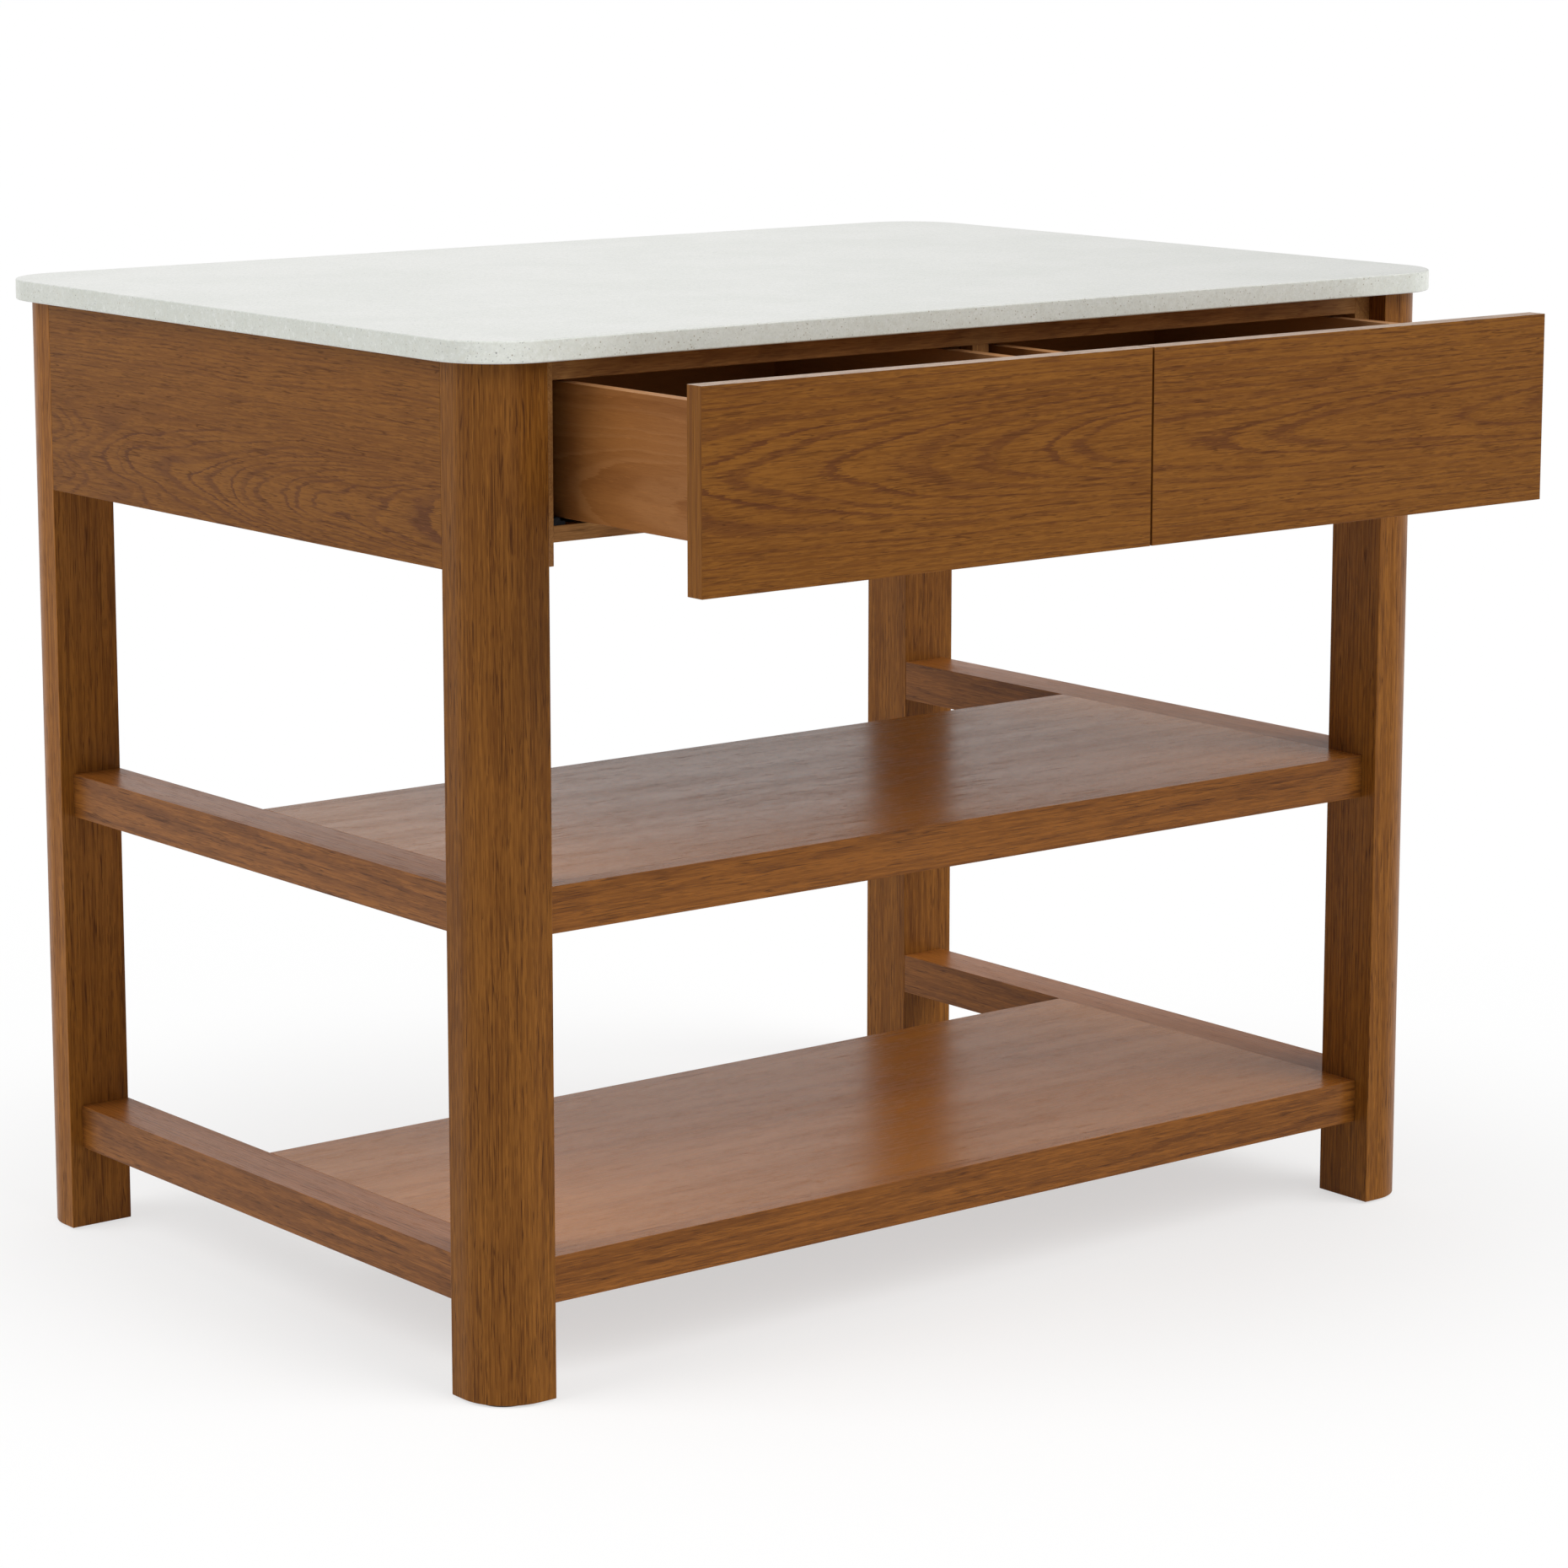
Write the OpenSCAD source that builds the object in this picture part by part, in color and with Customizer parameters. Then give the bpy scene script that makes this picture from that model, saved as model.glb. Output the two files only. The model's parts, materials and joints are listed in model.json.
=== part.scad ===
// Kitchen island on four legs: stone worktop, two drawers side by side, two open shelves.
// Millimetres. +Z is up, X runs along the long side, the drawers open towards -Y.
// The origin is on the floor, under the middle of the box around the unit at rest,
// with both drawers standing open.

/* [Overall] */
// Height of the worktop's top face above the floor
total_h = 902; // [860:1:960]
// Width across the outer faces of the legs
frame_w = 1090; // [950:1:1400]
// Depth across the outer faces of the legs
frame_d = 762; // [730:1:900]
// How far both drawers stand open at rest
rest_open = 203; // [20:1:400]

/* [Worktop] */
// Thickness of the stone slab
worktop_t = 19; // [12:0.5:40]
// How far the slab reaches past the legs on every side
worktop_overhang = 16; // [5:0.5:40]
// Radius of the slab's corners in plan
worktop_corner_r = 65; // [10:0.5:90]

/* [Legs] */
// Width of the square leg
leg_w = 63.5; // [56:0.5:80]
// Radius of the leg's outer upright corner
leg_corner_r = 45.5; // [5:0.5:50]
// Diameter of the glide under each leg
glide_d = 45; // [20:1:48]
// Height of the glide under each leg
glide_t = 2; // [1:0.5:6]

/* [Aprons] */
// Height of the end and back aprons
apron_h = 174; // [165:1:220]
// Thickness of the end and back aprons
apron_t = 19; // [15:0.5:24]

/* [End rails] */
// Height of the rails between the front and back legs
rail_h = 40.5; // [30:0.5:60]
// How far a rail's outer face lies in from the leg's outer face
rail_inset = 12.7; // [0:0.1:20]
// Height of the middle rail's top, and of the middle shelf's, above the floor
mid_shelf_z = 440; // [300:1:520]
// Height of the low rail's top, and of the low shelf's, above the floor
low_shelf_z = 120; // [80:1:200]

/* [Shelves] */
// Depth of both shelves, front to back
shelf_d = 430; // [300:1:600]
// How far the shelves' front edges lie behind the legs' front faces
shelf_setback = 17.5; // [0:0.5:60]
// Thickness of the shelf panel
shelf_t = 19; // [15:0.5:25]
// Thickness of the solid edge pieces at the shelf's front and back
shelf_edge_t = 20; // [15:0.5:40]
// Width and height of the cleat that carries each end of a shelf
cleat_w = 19; // [12:0.5:30]

/* [Drawer case] */
// Thickness of the case's sides, divider and back
case_t = 19; // [15:0.5:22]
// Height of the drawer opening
opening_h = 120.7; // [119:0.1:122]
// Height of the rail above the drawers
top_rail_h = 19.5; // [12:0.5:20]
// Depth of the rail above the drawers
top_rail_d = 60; // [25:1:80]
// Height of the rail below the drawers
low_rail_h = 14; // [10:0.5:16]
// Depth of the rail below the drawers
low_rail_d = 45; // [25:1:60]

/* [Drawers] */
// Thickness of the drawer front
front_t = 19; // [15:0.5:22]
// Height of the drawer front
front_h = 169; // [150:0.5:169]
// Gap between the drawer front and the worktop
front_top_gap = 4; // [2:0.5:8]
// Gap beside and between the drawer fronts
front_gap = 2; // [2:0.5:5]
// Gap between a closed drawer's front and the case
close_gap = 1.5; // [1:0.1:3]
// Thickness of the drawer box's sides, front and back
box_t = 12.7; // [10:0.1:15]
// Height of the drawer box
box_h = 113; // [90:0.5:115]
// Thickness of the drawer's bottom panel
bottom_t = 6.4; // [4:0.1:9]
// Height of the bottom panel's underside above the sides' lower edge
bottom_up = 12.7; // [12.7:0.1:16]

/* [Drawer slides] */
// Length of each slide, which is also its full travel
slide_l = 450; // [400:1:500]
// Gap between the case and the drawer box on each side
slide_clear = 12.5; // [10:0.1:14]
// Width of the outer channel under the drawer's bottom
slide_w = 20; // [18:0.5:26]
// Wall thickness of the steel channels
slide_wall = 1.5; // [1.2:0.1:1.6]
// Thickness of the ball cages between the channels
cage_t = 1.4; // [1:0.1:1.5]
// Height of the slide's flange on the case wall
flange_h = 9; // [8:0.5:12]
// Height of the end cap at the front of each slide
end_cap_h = 6.5; // [4:0.5:8]

/* [Fasteners] */
// Diameter of the dowels in the end rails
rail_dowel_d = 10; // [8:0.5:12]
// Length of the dowels in the end rails
rail_dowel_l = 50; // [30:1:60]
// Diameter of the dowels in the aprons
apron_dowel_d = 8; // [6:0.5:9]
// Length of the dowels in the aprons
apron_dowel_l = 40; // [24:1:44]
// Thread diameter of the bolts that hold the legs
bolt_d = 8; // [6:1:10]
// Shank diameter of the wood screws
screw_d = 4; // [3:0.5:5]
// Height and depth of the brackets under the worktop
bracket_w = 25; // [18:1:30]

/* [Hidden] */
$fn = 48;

// Colours
oak = [0.50, 0.29, 0.14];
oak_dark = [0.42, 0.24, 0.12];
box_wood = [0.58, 0.35, 0.20];
plywood = [0.60, 0.42, 0.26];
stone = [0.87, 0.88, 0.86];
black_steel = [0.06, 0.06, 0.07];
bright_steel = [0.70, 0.70, 0.72];
nylon = [0.10, 0.10, 0.11];
felt = [0.45, 0.44, 0.43];

// Fits
hole_fit = 0.2;     // a hole's diameter over its dowel's, bolt's or screw's
running_gap = 0.3;  // between pieces that move past each other
end_gap = 0.3;      // at the blind end of a hole or groove
past_face = 1;      // how far a cutting shape reaches past the face that it cuts

// Places in plan, measured from the middle of the unit
mid_y = max(0, (rest_open - worktop_overhang) / 2);
half_w = frame_w / 2;
half_d = frame_d / 2;
leg_in_x = half_w - leg_w;
leg_in_y = half_d - leg_w;

// Heights above the floor
top_z = total_h - worktop_t;
apron_z = top_z - apron_h;

// End rails and their dowels
rail_w = leg_w - rail_inset;
rail_dowel_spacing = rail_w / 2;
apron_dowels = 3;

// Blocks and bolts between an end apron and the case side
block_l = 38;
block_h = 100;
bolt_grip = 35;
bolt_head_t = 5.3;
bolt_head_share = 1.85;
bolt_head_d = bolt_head_share * bolt_d;
block_x0 = leg_in_x;
block_x1 = half_w - apron_t;
block_z = apron_z + apron_h / 2;

// Shelves
shelf_y0 = -half_d + shelf_setback;
shelf_y1 = shelf_y0 + shelf_d;
cleat_end = 6;
shelf_screws_per_cleat = 3;
shelf_screw_grip = 12;

// Drawer case
face_y = -half_d + front_t + close_gap;
case_x = leg_in_x - case_t;
rail_under_z = top_z - top_rail_h;
sill_z = rail_under_z - opening_h;
case_z = sill_z - low_rail_h;

// Drawer bay, from the divider to the case side
bay_w = case_x - case_t / 2;
bay_x = (case_x + case_t / 2) / 2;

// Drawer front and box, with the drawer closed
front_x0 = front_gap / 2;
front_x1 = leg_in_x - front_gap;
front_z1 = top_z - front_top_gap;
front_z0 = front_z1 - front_h;
closed_y = face_y - close_gap;
box_lift = 5;
box_x = bay_w / 2 - slide_clear;
box_in_x = box_x - box_t;
box_z0 = sill_z + box_lift;
box_z1 = box_z0 + box_h;
bottom_z = box_z0 + bottom_up;
groove_d = box_t / 2;
rail_start = 2;
slide_y0 = closed_y + box_t + rail_start;
slide_y1 = slide_y0 + slide_l;
box_y1 = slide_y1;
case_back_gap = 8;
case_back_y = box_y1 + case_back_gap;

// Nested channels under each side of a drawer's bottom, from the outermost in:
// 0 drawer rail, 1 cage, 2 middle rail, 3 cage, 4 case rail
nest_x = box_in_x - running_gap - slide_w / 2;
nest_z0 = sill_z + 2 * slide_wall;
cage_short = 25;
cage_l = slide_l / 2 - cage_short;
function nest_inset(layer) =
    floor(layer / 2) * (slide_wall + cage_t + 2 * running_gap)
    + (layer % 2) * (slide_wall + running_gap);

// Small fasteners
screw_head_over = 3;
screw_head_d = screw_d + screw_head_over;
screw_head_t = 2;
case_screw_grip = 7;
slide_screws = 3;
flange_rim = 0.5;
slide_screw_z = sill_z + flange_h - screw_head_d / 2 - flange_rim;
front_screw_in = 40;
front_screw_grip = 11;
front_screw_places = [0.35, 0.75];
bumper_d = 8;
bumper_in = 20;
bumper_up = 1;
bracket_l = 30;
bracket_t = 2;
bracket_places = [0.35, 0.75];

// ---------- shared shapes ----------

// A box between its lowest and highest corners
module block(low, high) {
    translate(low)
        cube(high - low);
}

// A 2D shape in X and Z, drawn out from y0 to y1
module along_y(y0, y1) {
    translate([0, y1, 0])
        rotate([90, 0, 0])
            linear_extrude(y1 - y0)
                children();
}

// Round bars along each axis
module rod_x(d, x0, x1, y, z) {
    translate([x0, y, z])
        rotate([0, 90, 0])
            cylinder(d = d, h = x1 - x0);
}

module rod_y(d, x, y0, y1, z) {
    translate([x, y1, z])
        rotate([90, 0, 0])
            cylinder(d = d, h = y1 - y0);
}

module rod_z(d, x, y, z0, z1) {
    translate([x, y, z0])
        cylinder(d = d, h = z1 - z0);
}

// Mirrors what is drawn for the right (+X) or the back (+Y) to the other side
module flip_x(side) {
    if (side < 0)
        mirror([1, 0, 0])
            children();
    else
        children();
}

module flip_y(side) {
    if (side < 0)
        mirror([0, 1, 0])
            children();
    else
        children();
}

// Puts what is drawn from the unit's middle at its place
module unit(side_x = 1, side_y = 1) {
    translate([0, mid_y, 0])
        flip_x(side_x)
            flip_y(side_y)
                children();
}

// Puts what is drawn for a closed drawer in one bay, moved by a share of the opening.
// Inside, X is measured from the middle of the bay, outwards.
module bay(side_x, share) {
    translate([0, -share * rest_open, 0])
        unit(side_x)
            translate([bay_x, 0, 0])
                children();
}

// Draws the same thing at both sides of a bay
module both_sides() {
    for (side = [-1, 1])
        flip_x(side)
            children();
}

// ---------- fasteners, also drawn larger as their holes ----------

// Dowels between one leg and the two end rails that meet it
module rail_dowel_set(fit, more_l) {
    for (top = [mid_shelf_z, low_shelf_z])
        for (side = [-1, 1])
            rod_y(rail_dowel_d + fit,
                  leg_in_x + rail_w / 2 + side * rail_dowel_spacing / 2,
                  leg_in_y - rail_dowel_l / 2 - more_l,
                  leg_in_y + rail_dowel_l / 2 + more_l,
                  top - rail_h / 2);
}

function apron_dowel_z(i) = apron_z + apron_h * (i + 0.5) / apron_dowels;

// Dowels between one leg and the end apron
module end_apron_dowel_set(fit, more_l) {
    for (i = [0 : apron_dowels - 1])
        rod_y(apron_dowel_d + fit, half_w - apron_t / 2,
              leg_in_y - apron_dowel_l / 2 - more_l,
              leg_in_y + apron_dowel_l / 2 + more_l,
              apron_dowel_z(i));
}

// Dowels between a back leg and the back apron
module back_apron_dowel_set(fit, more_l) {
    for (i = [0 : apron_dowels - 1])
        rod_x(apron_dowel_d + fit,
              leg_in_x - apron_dowel_l / 2 - more_l,
              leg_in_x + apron_dowel_l / 2 + more_l,
              half_d - apron_t / 2, apron_dowel_z(i));
}

// Shank of the bolt from a corner block into its leg
module bolt_shank(fit, more_l) {
    rod_y(bolt_d + fit, (block_x0 + block_x1) / 2,
          leg_in_y - block_l - more_l, leg_in_y + bolt_grip + more_l, block_z);
}

// Screws up through one cleat into its shelf; the shelf's top is at z
module shelf_screw_set(top, fit, more_l) {
    z0 = top - shelf_t - cleat_w;
    span = shelf_d - 2 * shelf_edge_t - 2 * cleat_end;
    for (i = [0 : shelf_screws_per_cleat - 1])
        rod_z(screw_d + fit, leg_in_x - cleat_w / 2,
              shelf_y0 + shelf_edge_t + cleat_end + span * (i + 0.5) / shelf_screws_per_cleat,
              z0 - more_l, top - shelf_t + shelf_screw_grip + more_l);
}

function slide_screw_y(i) = slide_y0 + slide_l * (i + 0.5) / slide_screws;

// Screws from a slide's flange into the case wall, in bay coordinates
module slide_screw_set(fit, more_l) {
    for (i = [0 : slide_screws - 1])
        rod_x(screw_d + fit, bay_w / 2 - slide_wall - more_l,
              bay_w / 2 + case_screw_grip + more_l, slide_screw_y(i), slide_screw_z);
}

// A bar at the place of each screw between the box and the drawer front
module front_screw_bars(d, y0, y1) {
    for (x = [-1, 1] * (box_in_x - front_screw_in))
        for (share = front_screw_places)
            rod_y(d, x, y0, y1, box_z0 + share * box_h);
}

// Screws from inside the box into the drawer front, in bay coordinates
module front_screw_set(fit, more_l) {
    front_screw_bars(screw_d + fit, closed_y - front_screw_grip - more_l,
                     closed_y + box_t + more_l);
}

// ---------- worktop ----------

module worktop() {
    color(stone)
        unit()
            translate([0, 0, top_z])
                linear_extrude(worktop_t)
                    rounded_plate(half_w + worktop_overhang, half_d + worktop_overhang,
                                  worktop_corner_r);
}

// Rectangle of half sizes x and y with round corners
module rounded_plate(x, y, r) {
    square([2 * (x - r), 2 * y], center = true);
    square([2 * x, 2 * (y - r)], center = true);
    for (side_x = [-1, 1])
        for (side_y = [-1, 1])
            translate([side_x * (x - r), side_y * (y - r)])
                circle(r);
}

// Steel angles that tie the case's sides and the back apron to the slab
function bracket_y(i) =
    case_back_y + case_t + bracket_places[i] * (half_d - apron_t - case_back_y - case_t);

module bracket_screw_set(fit, more_l) {
    for (i = [0, 1])
        rod_x(screw_d + fit, case_x - bracket_t - more_l, case_x + case_screw_grip + more_l,
              bracket_y(i), top_z - bracket_w / 2);
}

module worktop_brackets() {
    color(bright_steel)
        for (side = [-1, 1])
            unit(side)
                difference() {
                    for (i = [0, 1])
                        translate([case_x, bracket_y(i) + bracket_l / 2, top_z])
                            along_y(-bracket_l, 0)
                                polygon([[0, 0], [0, -bracket_w], [-bracket_t, -bracket_w],
                                         [-bracket_t, -bracket_t], [-bracket_w, -bracket_t],
                                         [-bracket_w, 0]]);
                    bracket_screw_set(hole_fit, end_gap);
                }
}

// ---------- legs ----------

module leg_section() {
    round_at = leg_w - leg_corner_r;
    translate([leg_in_x, leg_in_y])
        difference() {
            square(leg_w);
            translate([round_at, round_at])
                difference() {
                    square(2 * leg_corner_r);
                    circle(leg_corner_r);
                }
        }
}

module leg(side_x, side_y) {
    color(oak)
        unit(side_x, side_y)
            difference() {
                translate([0, 0, glide_t])
                    linear_extrude(top_z - glide_t)
                        leg_section();
                rail_dowel_set(hole_fit, end_gap);
                end_apron_dowel_set(hole_fit, end_gap);
                bolt_shank(hole_fit, end_gap);
                if (side_y > 0)
                    back_apron_dowel_set(hole_fit, end_gap);
            }
}

module leg_front_left() leg(-1, -1);
module leg_front_right() leg(1, -1);
module leg_back_left() leg(-1, 1);
module leg_back_right() leg(1, 1);

module leg_glides() {
    color(felt)
        for (side_x = [-1, 1])
            for (side_y = [-1, 1])
                unit(side_x, side_y)
                    rod_z(glide_d, leg_in_x + leg_w / 2, leg_in_y + leg_w / 2, 0, glide_t);
}

// ---------- aprons, end rails and what joins them ----------

module end_apron(side_x) {
    color(oak)
        unit(side_x)
            difference() {
                block([half_w - apron_t, -leg_in_y, apron_z], [half_w, leg_in_y, top_z]);
                for (side_y = [-1, 1])
                    flip_y(side_y)
                        end_apron_dowel_set(hole_fit, end_gap);
            }
}

module end_apron_left() end_apron(-1);
module end_apron_right() end_apron(1);

module back_apron() {
    color(oak)
        unit()
            difference() {
                block([-leg_in_x, half_d - apron_t, apron_z], [leg_in_x, half_d, top_z]);
                both_sides()
                    back_apron_dowel_set(hole_fit, end_gap);
            }
}

module end_rail(side_x, top) {
    color(oak)
        unit(side_x)
            difference() {
                block([leg_in_x, -leg_in_y, top - rail_h], [leg_in_x + rail_w, leg_in_y, top]);
                for (side_y = [-1, 1])
                    flip_y(side_y)
                        rail_dowel_set(hole_fit, end_gap);
            }
}

module mid_rail_left() end_rail(-1, mid_shelf_z);
module mid_rail_right() end_rail(1, mid_shelf_z);
module low_rail_left() end_rail(-1, low_shelf_z);
module low_rail_right() end_rail(1, low_shelf_z);

module frame_dowels() {
    color(plywood)
        for (side_x = [-1, 1])
            for (side_y = [-1, 1])
                unit(side_x, side_y) {
                    rail_dowel_set(0, 0);
                    end_apron_dowel_set(0, 0);
                    if (side_y > 0)
                        back_apron_dowel_set(0, 0);
                }
}

module corner_blocks() {
    color(plywood)
        for (side_x = [-1, 1])
            for (side_y = [-1, 1])
                unit(side_x, side_y)
                    difference() {
                        block([block_x0, leg_in_y - block_l, block_z - block_h / 2],
                              [block_x1, leg_in_y, block_z + block_h / 2]);
                        bolt_shank(hole_fit, end_gap);
                    }
}

module leg_bolts() {
    color(bright_steel)
        for (side_x = [-1, 1])
            for (side_y = [-1, 1])
                unit(side_x, side_y) {
                    bolt_shank(0, 0);
                    translate([(block_x0 + block_x1) / 2, leg_in_y - block_l, block_z])
                        rotate([90, 0, 0])
                            cylinder(d = bolt_head_d, h = bolt_head_t, $fn = 6);
                }
}

// ---------- shelves ----------

module shelf_panel(top) {
    color(oak)
        unit()
            difference() {
                block([-leg_in_x, shelf_y0 + shelf_edge_t, top - shelf_t],
                      [leg_in_x, shelf_y1 - shelf_edge_t, top]);
                both_sides()
                    shelf_screw_set(top, hole_fit, end_gap);
            }
}

module shelf_edge(y0, top) {
    color(oak)
        unit()
            block([-leg_in_x, y0, top - rail_h], [leg_in_x, y0 + shelf_edge_t, top]);
}

module mid_shelf_panel() shelf_panel(mid_shelf_z);
module mid_shelf_front_edge() shelf_edge(shelf_y0, mid_shelf_z);
module mid_shelf_back_edge() shelf_edge(shelf_y1 - shelf_edge_t, mid_shelf_z);
module low_shelf_panel() shelf_panel(low_shelf_z);
module low_shelf_front_edge() shelf_edge(shelf_y0, low_shelf_z);
module low_shelf_back_edge() shelf_edge(shelf_y1 - shelf_edge_t, low_shelf_z);

module shelf_cleats() {
    color(oak_dark)
        for (side_x = [-1, 1])
            for (top = [mid_shelf_z, low_shelf_z])
                unit(side_x)
                    difference() {
                        block([leg_in_x - cleat_w, shelf_y0 + shelf_edge_t + cleat_end,
                               top - shelf_t - cleat_w],
                              [leg_in_x, shelf_y1 - shelf_edge_t - cleat_end, top - shelf_t]);
                        shelf_screw_set(top, hole_fit, end_gap);
                    }
}

module shelf_screws() {
    color(bright_steel)
        for (side_x = [-1, 1])
            for (top = [mid_shelf_z, low_shelf_z])
                unit(side_x)
                    shelf_screw_set(top, 0, 0);
}

// ---------- drawer case ----------

module case_side(side_x) {
    color(oak_dark)
        unit(side_x)
            difference() {
                block([case_x, face_y, apron_z], [leg_in_x, half_d - apron_t, top_z]);
                bracket_screw_set(hole_fit, end_gap);
                translate([bay_x, 0, 0])
                    slide_screw_set(hole_fit, end_gap);
            }
}

module case_side_left() case_side(-1);
module case_side_right() case_side(1);

module case_divider() {
    color(oak_dark)
        unit()
            difference() {
                divider_section();
                both_sides()
                    translate([bay_x, 0, 0])
                        flip_x(-1)
                            slide_screw_set(hole_fit, end_gap);
            }
}

// The divider stands on the sill and clears the rails above and below
module divider_section() {
    x = case_t / 2;
    difference() {
        block([-x, face_y + case_t, case_z], [x, case_back_y, top_z]);
        block([-case_t, face_y, case_z - past_face],
              [case_t, face_y + low_rail_d, sill_z]);
        block([-case_t, face_y, rail_under_z],
              [case_t, face_y + top_rail_d, top_z + past_face]);
    }
}

module case_back() {
    color(oak_dark)
        unit()
            block([-case_x, case_back_y, case_z], [case_x, case_back_y + case_t, top_z]);
}

module case_top_rail() {
    color(oak_dark)
        unit()
            block([-case_x, face_y, rail_under_z], [case_x, face_y + top_rail_d, top_z]);
}

module case_bottom_rail() {
    color(oak_dark)
        unit()
            block([-case_x, face_y, case_z], [case_x, face_y + low_rail_d, sill_z]);
}

module case_stile() {
    color(oak_dark)
        unit()
            block([-case_t / 2, face_y, sill_z], [case_t / 2, face_y + case_t, rail_under_z]);
}

module case_screws() {
    color(bright_steel)
        for (side = [-1, 1]) {
            bay(side, 0)
                both_sides() {
                    slide_screw_set(0, 0);
                    for (i = [0 : slide_screws - 1])
                        rod_x(screw_head_d, bay_w / 2 - slide_wall - screw_head_t,
                              bay_w / 2 - slide_wall, slide_screw_y(i), slide_screw_z);
                }
            unit(side) {
                bracket_screw_set(0, 0);
                for (i = [0, 1])
                    rod_x(screw_head_d, case_x - bracket_t - screw_head_t,
                          case_x - bracket_t, bracket_y(i), top_z - bracket_w / 2);
            }
        }
}

// ---------- drawer slides ----------

// Section of one nested channel, open downwards
module nest_channel(layer, wall) {
    half = slide_w / 2 - nest_inset(layer);
    top = bottom_z - nest_inset(layer);
    translate([nest_x, 0])
        difference() {
            translate([-half, nest_z0])
                square([2 * half, top - nest_z0]);
            translate([wall - half, nest_z0 - past_face])
                square([2 * (half - wall), top - wall - nest_z0 + past_face]);
        }
}

// Section of the rail on the case: flange on the wall, web, and the core of the nest
module case_rail_section() {
    core_half = slide_w / 2 - nest_inset(4);
    core_top = bottom_z - nest_inset(4);
    translate([bay_w / 2 - slide_wall, sill_z])
        square([slide_wall, flange_h]);
    translate([nest_x - core_half, sill_z])
        square([bay_w / 2 - nest_x + core_half, slide_wall]);
    translate([nest_x - core_half, sill_z])
        square([2 * core_half, core_top - sill_z]);
}

module case_rails(side_x) {
    color(black_steel)
        bay(side_x, 0)
            both_sides()
                difference() {
                    along_y(slide_y0, slide_y1)
                        case_rail_section();
                    slide_screw_set(hole_fit, end_gap);
                }
}

module left_slide_case_rails() case_rails(-1);
module right_slide_case_rails() case_rails(1);

module slide_end_caps() {
    color(nylon)
        for (side = [-1, 1])
            bay(side, 0)
                both_sides()
                    block([box_x + running_gap, face_y, sill_z],
                          [bay_w / 2, slide_y0, sill_z + end_cap_h]);
}

module mid_rails(side_x) {
    color(black_steel)
        bay(side_x, 1 / 2)
            both_sides()
                along_y(slide_y0, slide_y1)
                    nest_channel(2, slide_wall);
}

module left_slide_mid_rails() mid_rails(-1);
module right_slide_mid_rails() mid_rails(1);

// A cage stays in the middle of the stretch where its two rails overlap
module cages(side_x, layer, share) {
    middle = (slide_y0 + slide_y1) / 2;
    color(bright_steel)
        bay(side_x, share)
            both_sides()
                along_y(middle - cage_l / 2, middle + cage_l / 2)
                    nest_channel(layer, cage_t);
}

module left_slide_case_cages() cages(-1, 3, 1 / 4);
module right_slide_case_cages() cages(1, 3, 1 / 4);
module left_slide_drawer_cages() cages(-1, 1, 3 / 4);
module right_slide_drawer_cages() cages(1, 1, 3 / 4);

module drawer_rails(side_x) {
    color(black_steel)
        bay(side_x, 1)
            both_sides()
                along_y(slide_y0, slide_y1)
                    nest_channel(0, slide_wall);
}

module left_drawer_rails() drawer_rails(-1);
module right_drawer_rails() drawer_rails(1);

// ---------- drawers ----------

module drawer_front(side_x) {
    color(oak)
        bay(side_x, 1)
            difference() {
                block([front_x0 - bay_x, closed_y - front_t, front_z0],
                      [front_x1 - bay_x, closed_y, front_z1]);
                front_screw_set(hole_fit, end_gap);
            }
}

module left_drawer_front() drawer_front(-1);
module right_drawer_front() drawer_front(1);

// Where the bottom panel lies, with its edges in the grooves
module bottom_panel_block(edge, front_edge) {
    block([-box_in_x - edge, closed_y + box_t - front_edge, bottom_z],
          [box_in_x + edge, box_y1, bottom_z + bottom_t]);
}

module drawer_box_front(side_x) {
    color(box_wood)
        bay(side_x, 1)
            difference() {
                block([-box_in_x, closed_y, box_z0], [box_in_x, closed_y + box_t, box_z1]);
                bottom_panel_block(groove_d, groove_d);
                front_screw_set(hole_fit, end_gap);
            }
}

module left_drawer_box_front() drawer_box_front(-1);
module right_drawer_box_front() drawer_box_front(1);

module drawer_box_back(side_x) {
    color(box_wood)
        bay(side_x, 1)
            block([-box_in_x, box_y1 - box_t, bottom_z + bottom_t], [box_in_x, box_y1, box_z1]);
}

module left_drawer_box_back() drawer_box_back(-1);
module right_drawer_box_back() drawer_box_back(1);

// place is 1 for the side by the case's side, -1 for the one by the divider
module drawer_side(side_x, place) {
    color(box_wood)
        bay(side_x, 1)
            flip_x(place)
                difference() {
                    block([box_in_x, closed_y, box_z0], [box_x, box_y1, box_z1]);
                    block([box_in_x - past_face, closed_y - past_face, bottom_z],
                          [box_in_x + groove_d, box_y1 + past_face, bottom_z + bottom_t]);
                }
}

module left_drawer_side_outer() drawer_side(-1, 1);
module left_drawer_side_inner() drawer_side(-1, -1);
module right_drawer_side_outer() drawer_side(1, 1);
module right_drawer_side_inner() drawer_side(1, -1);

module drawer_bottom(side_x) {
    color(plywood)
        bay(side_x, 1)
            bottom_panel_block(groove_d - end_gap, groove_d - end_gap);
}

module left_drawer_bottom() drawer_bottom(-1);
module right_drawer_bottom() drawer_bottom(1);

module drawer_screws(side_x) {
    color(bright_steel)
        bay(side_x, 1) {
            front_screw_set(0, 0);
            front_screw_bars(screw_head_d, closed_y + box_t, closed_y + box_t + screw_head_t);
        }
}

module left_drawer_screws() drawer_screws(-1);
module right_drawer_screws() drawer_screws(1);

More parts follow.
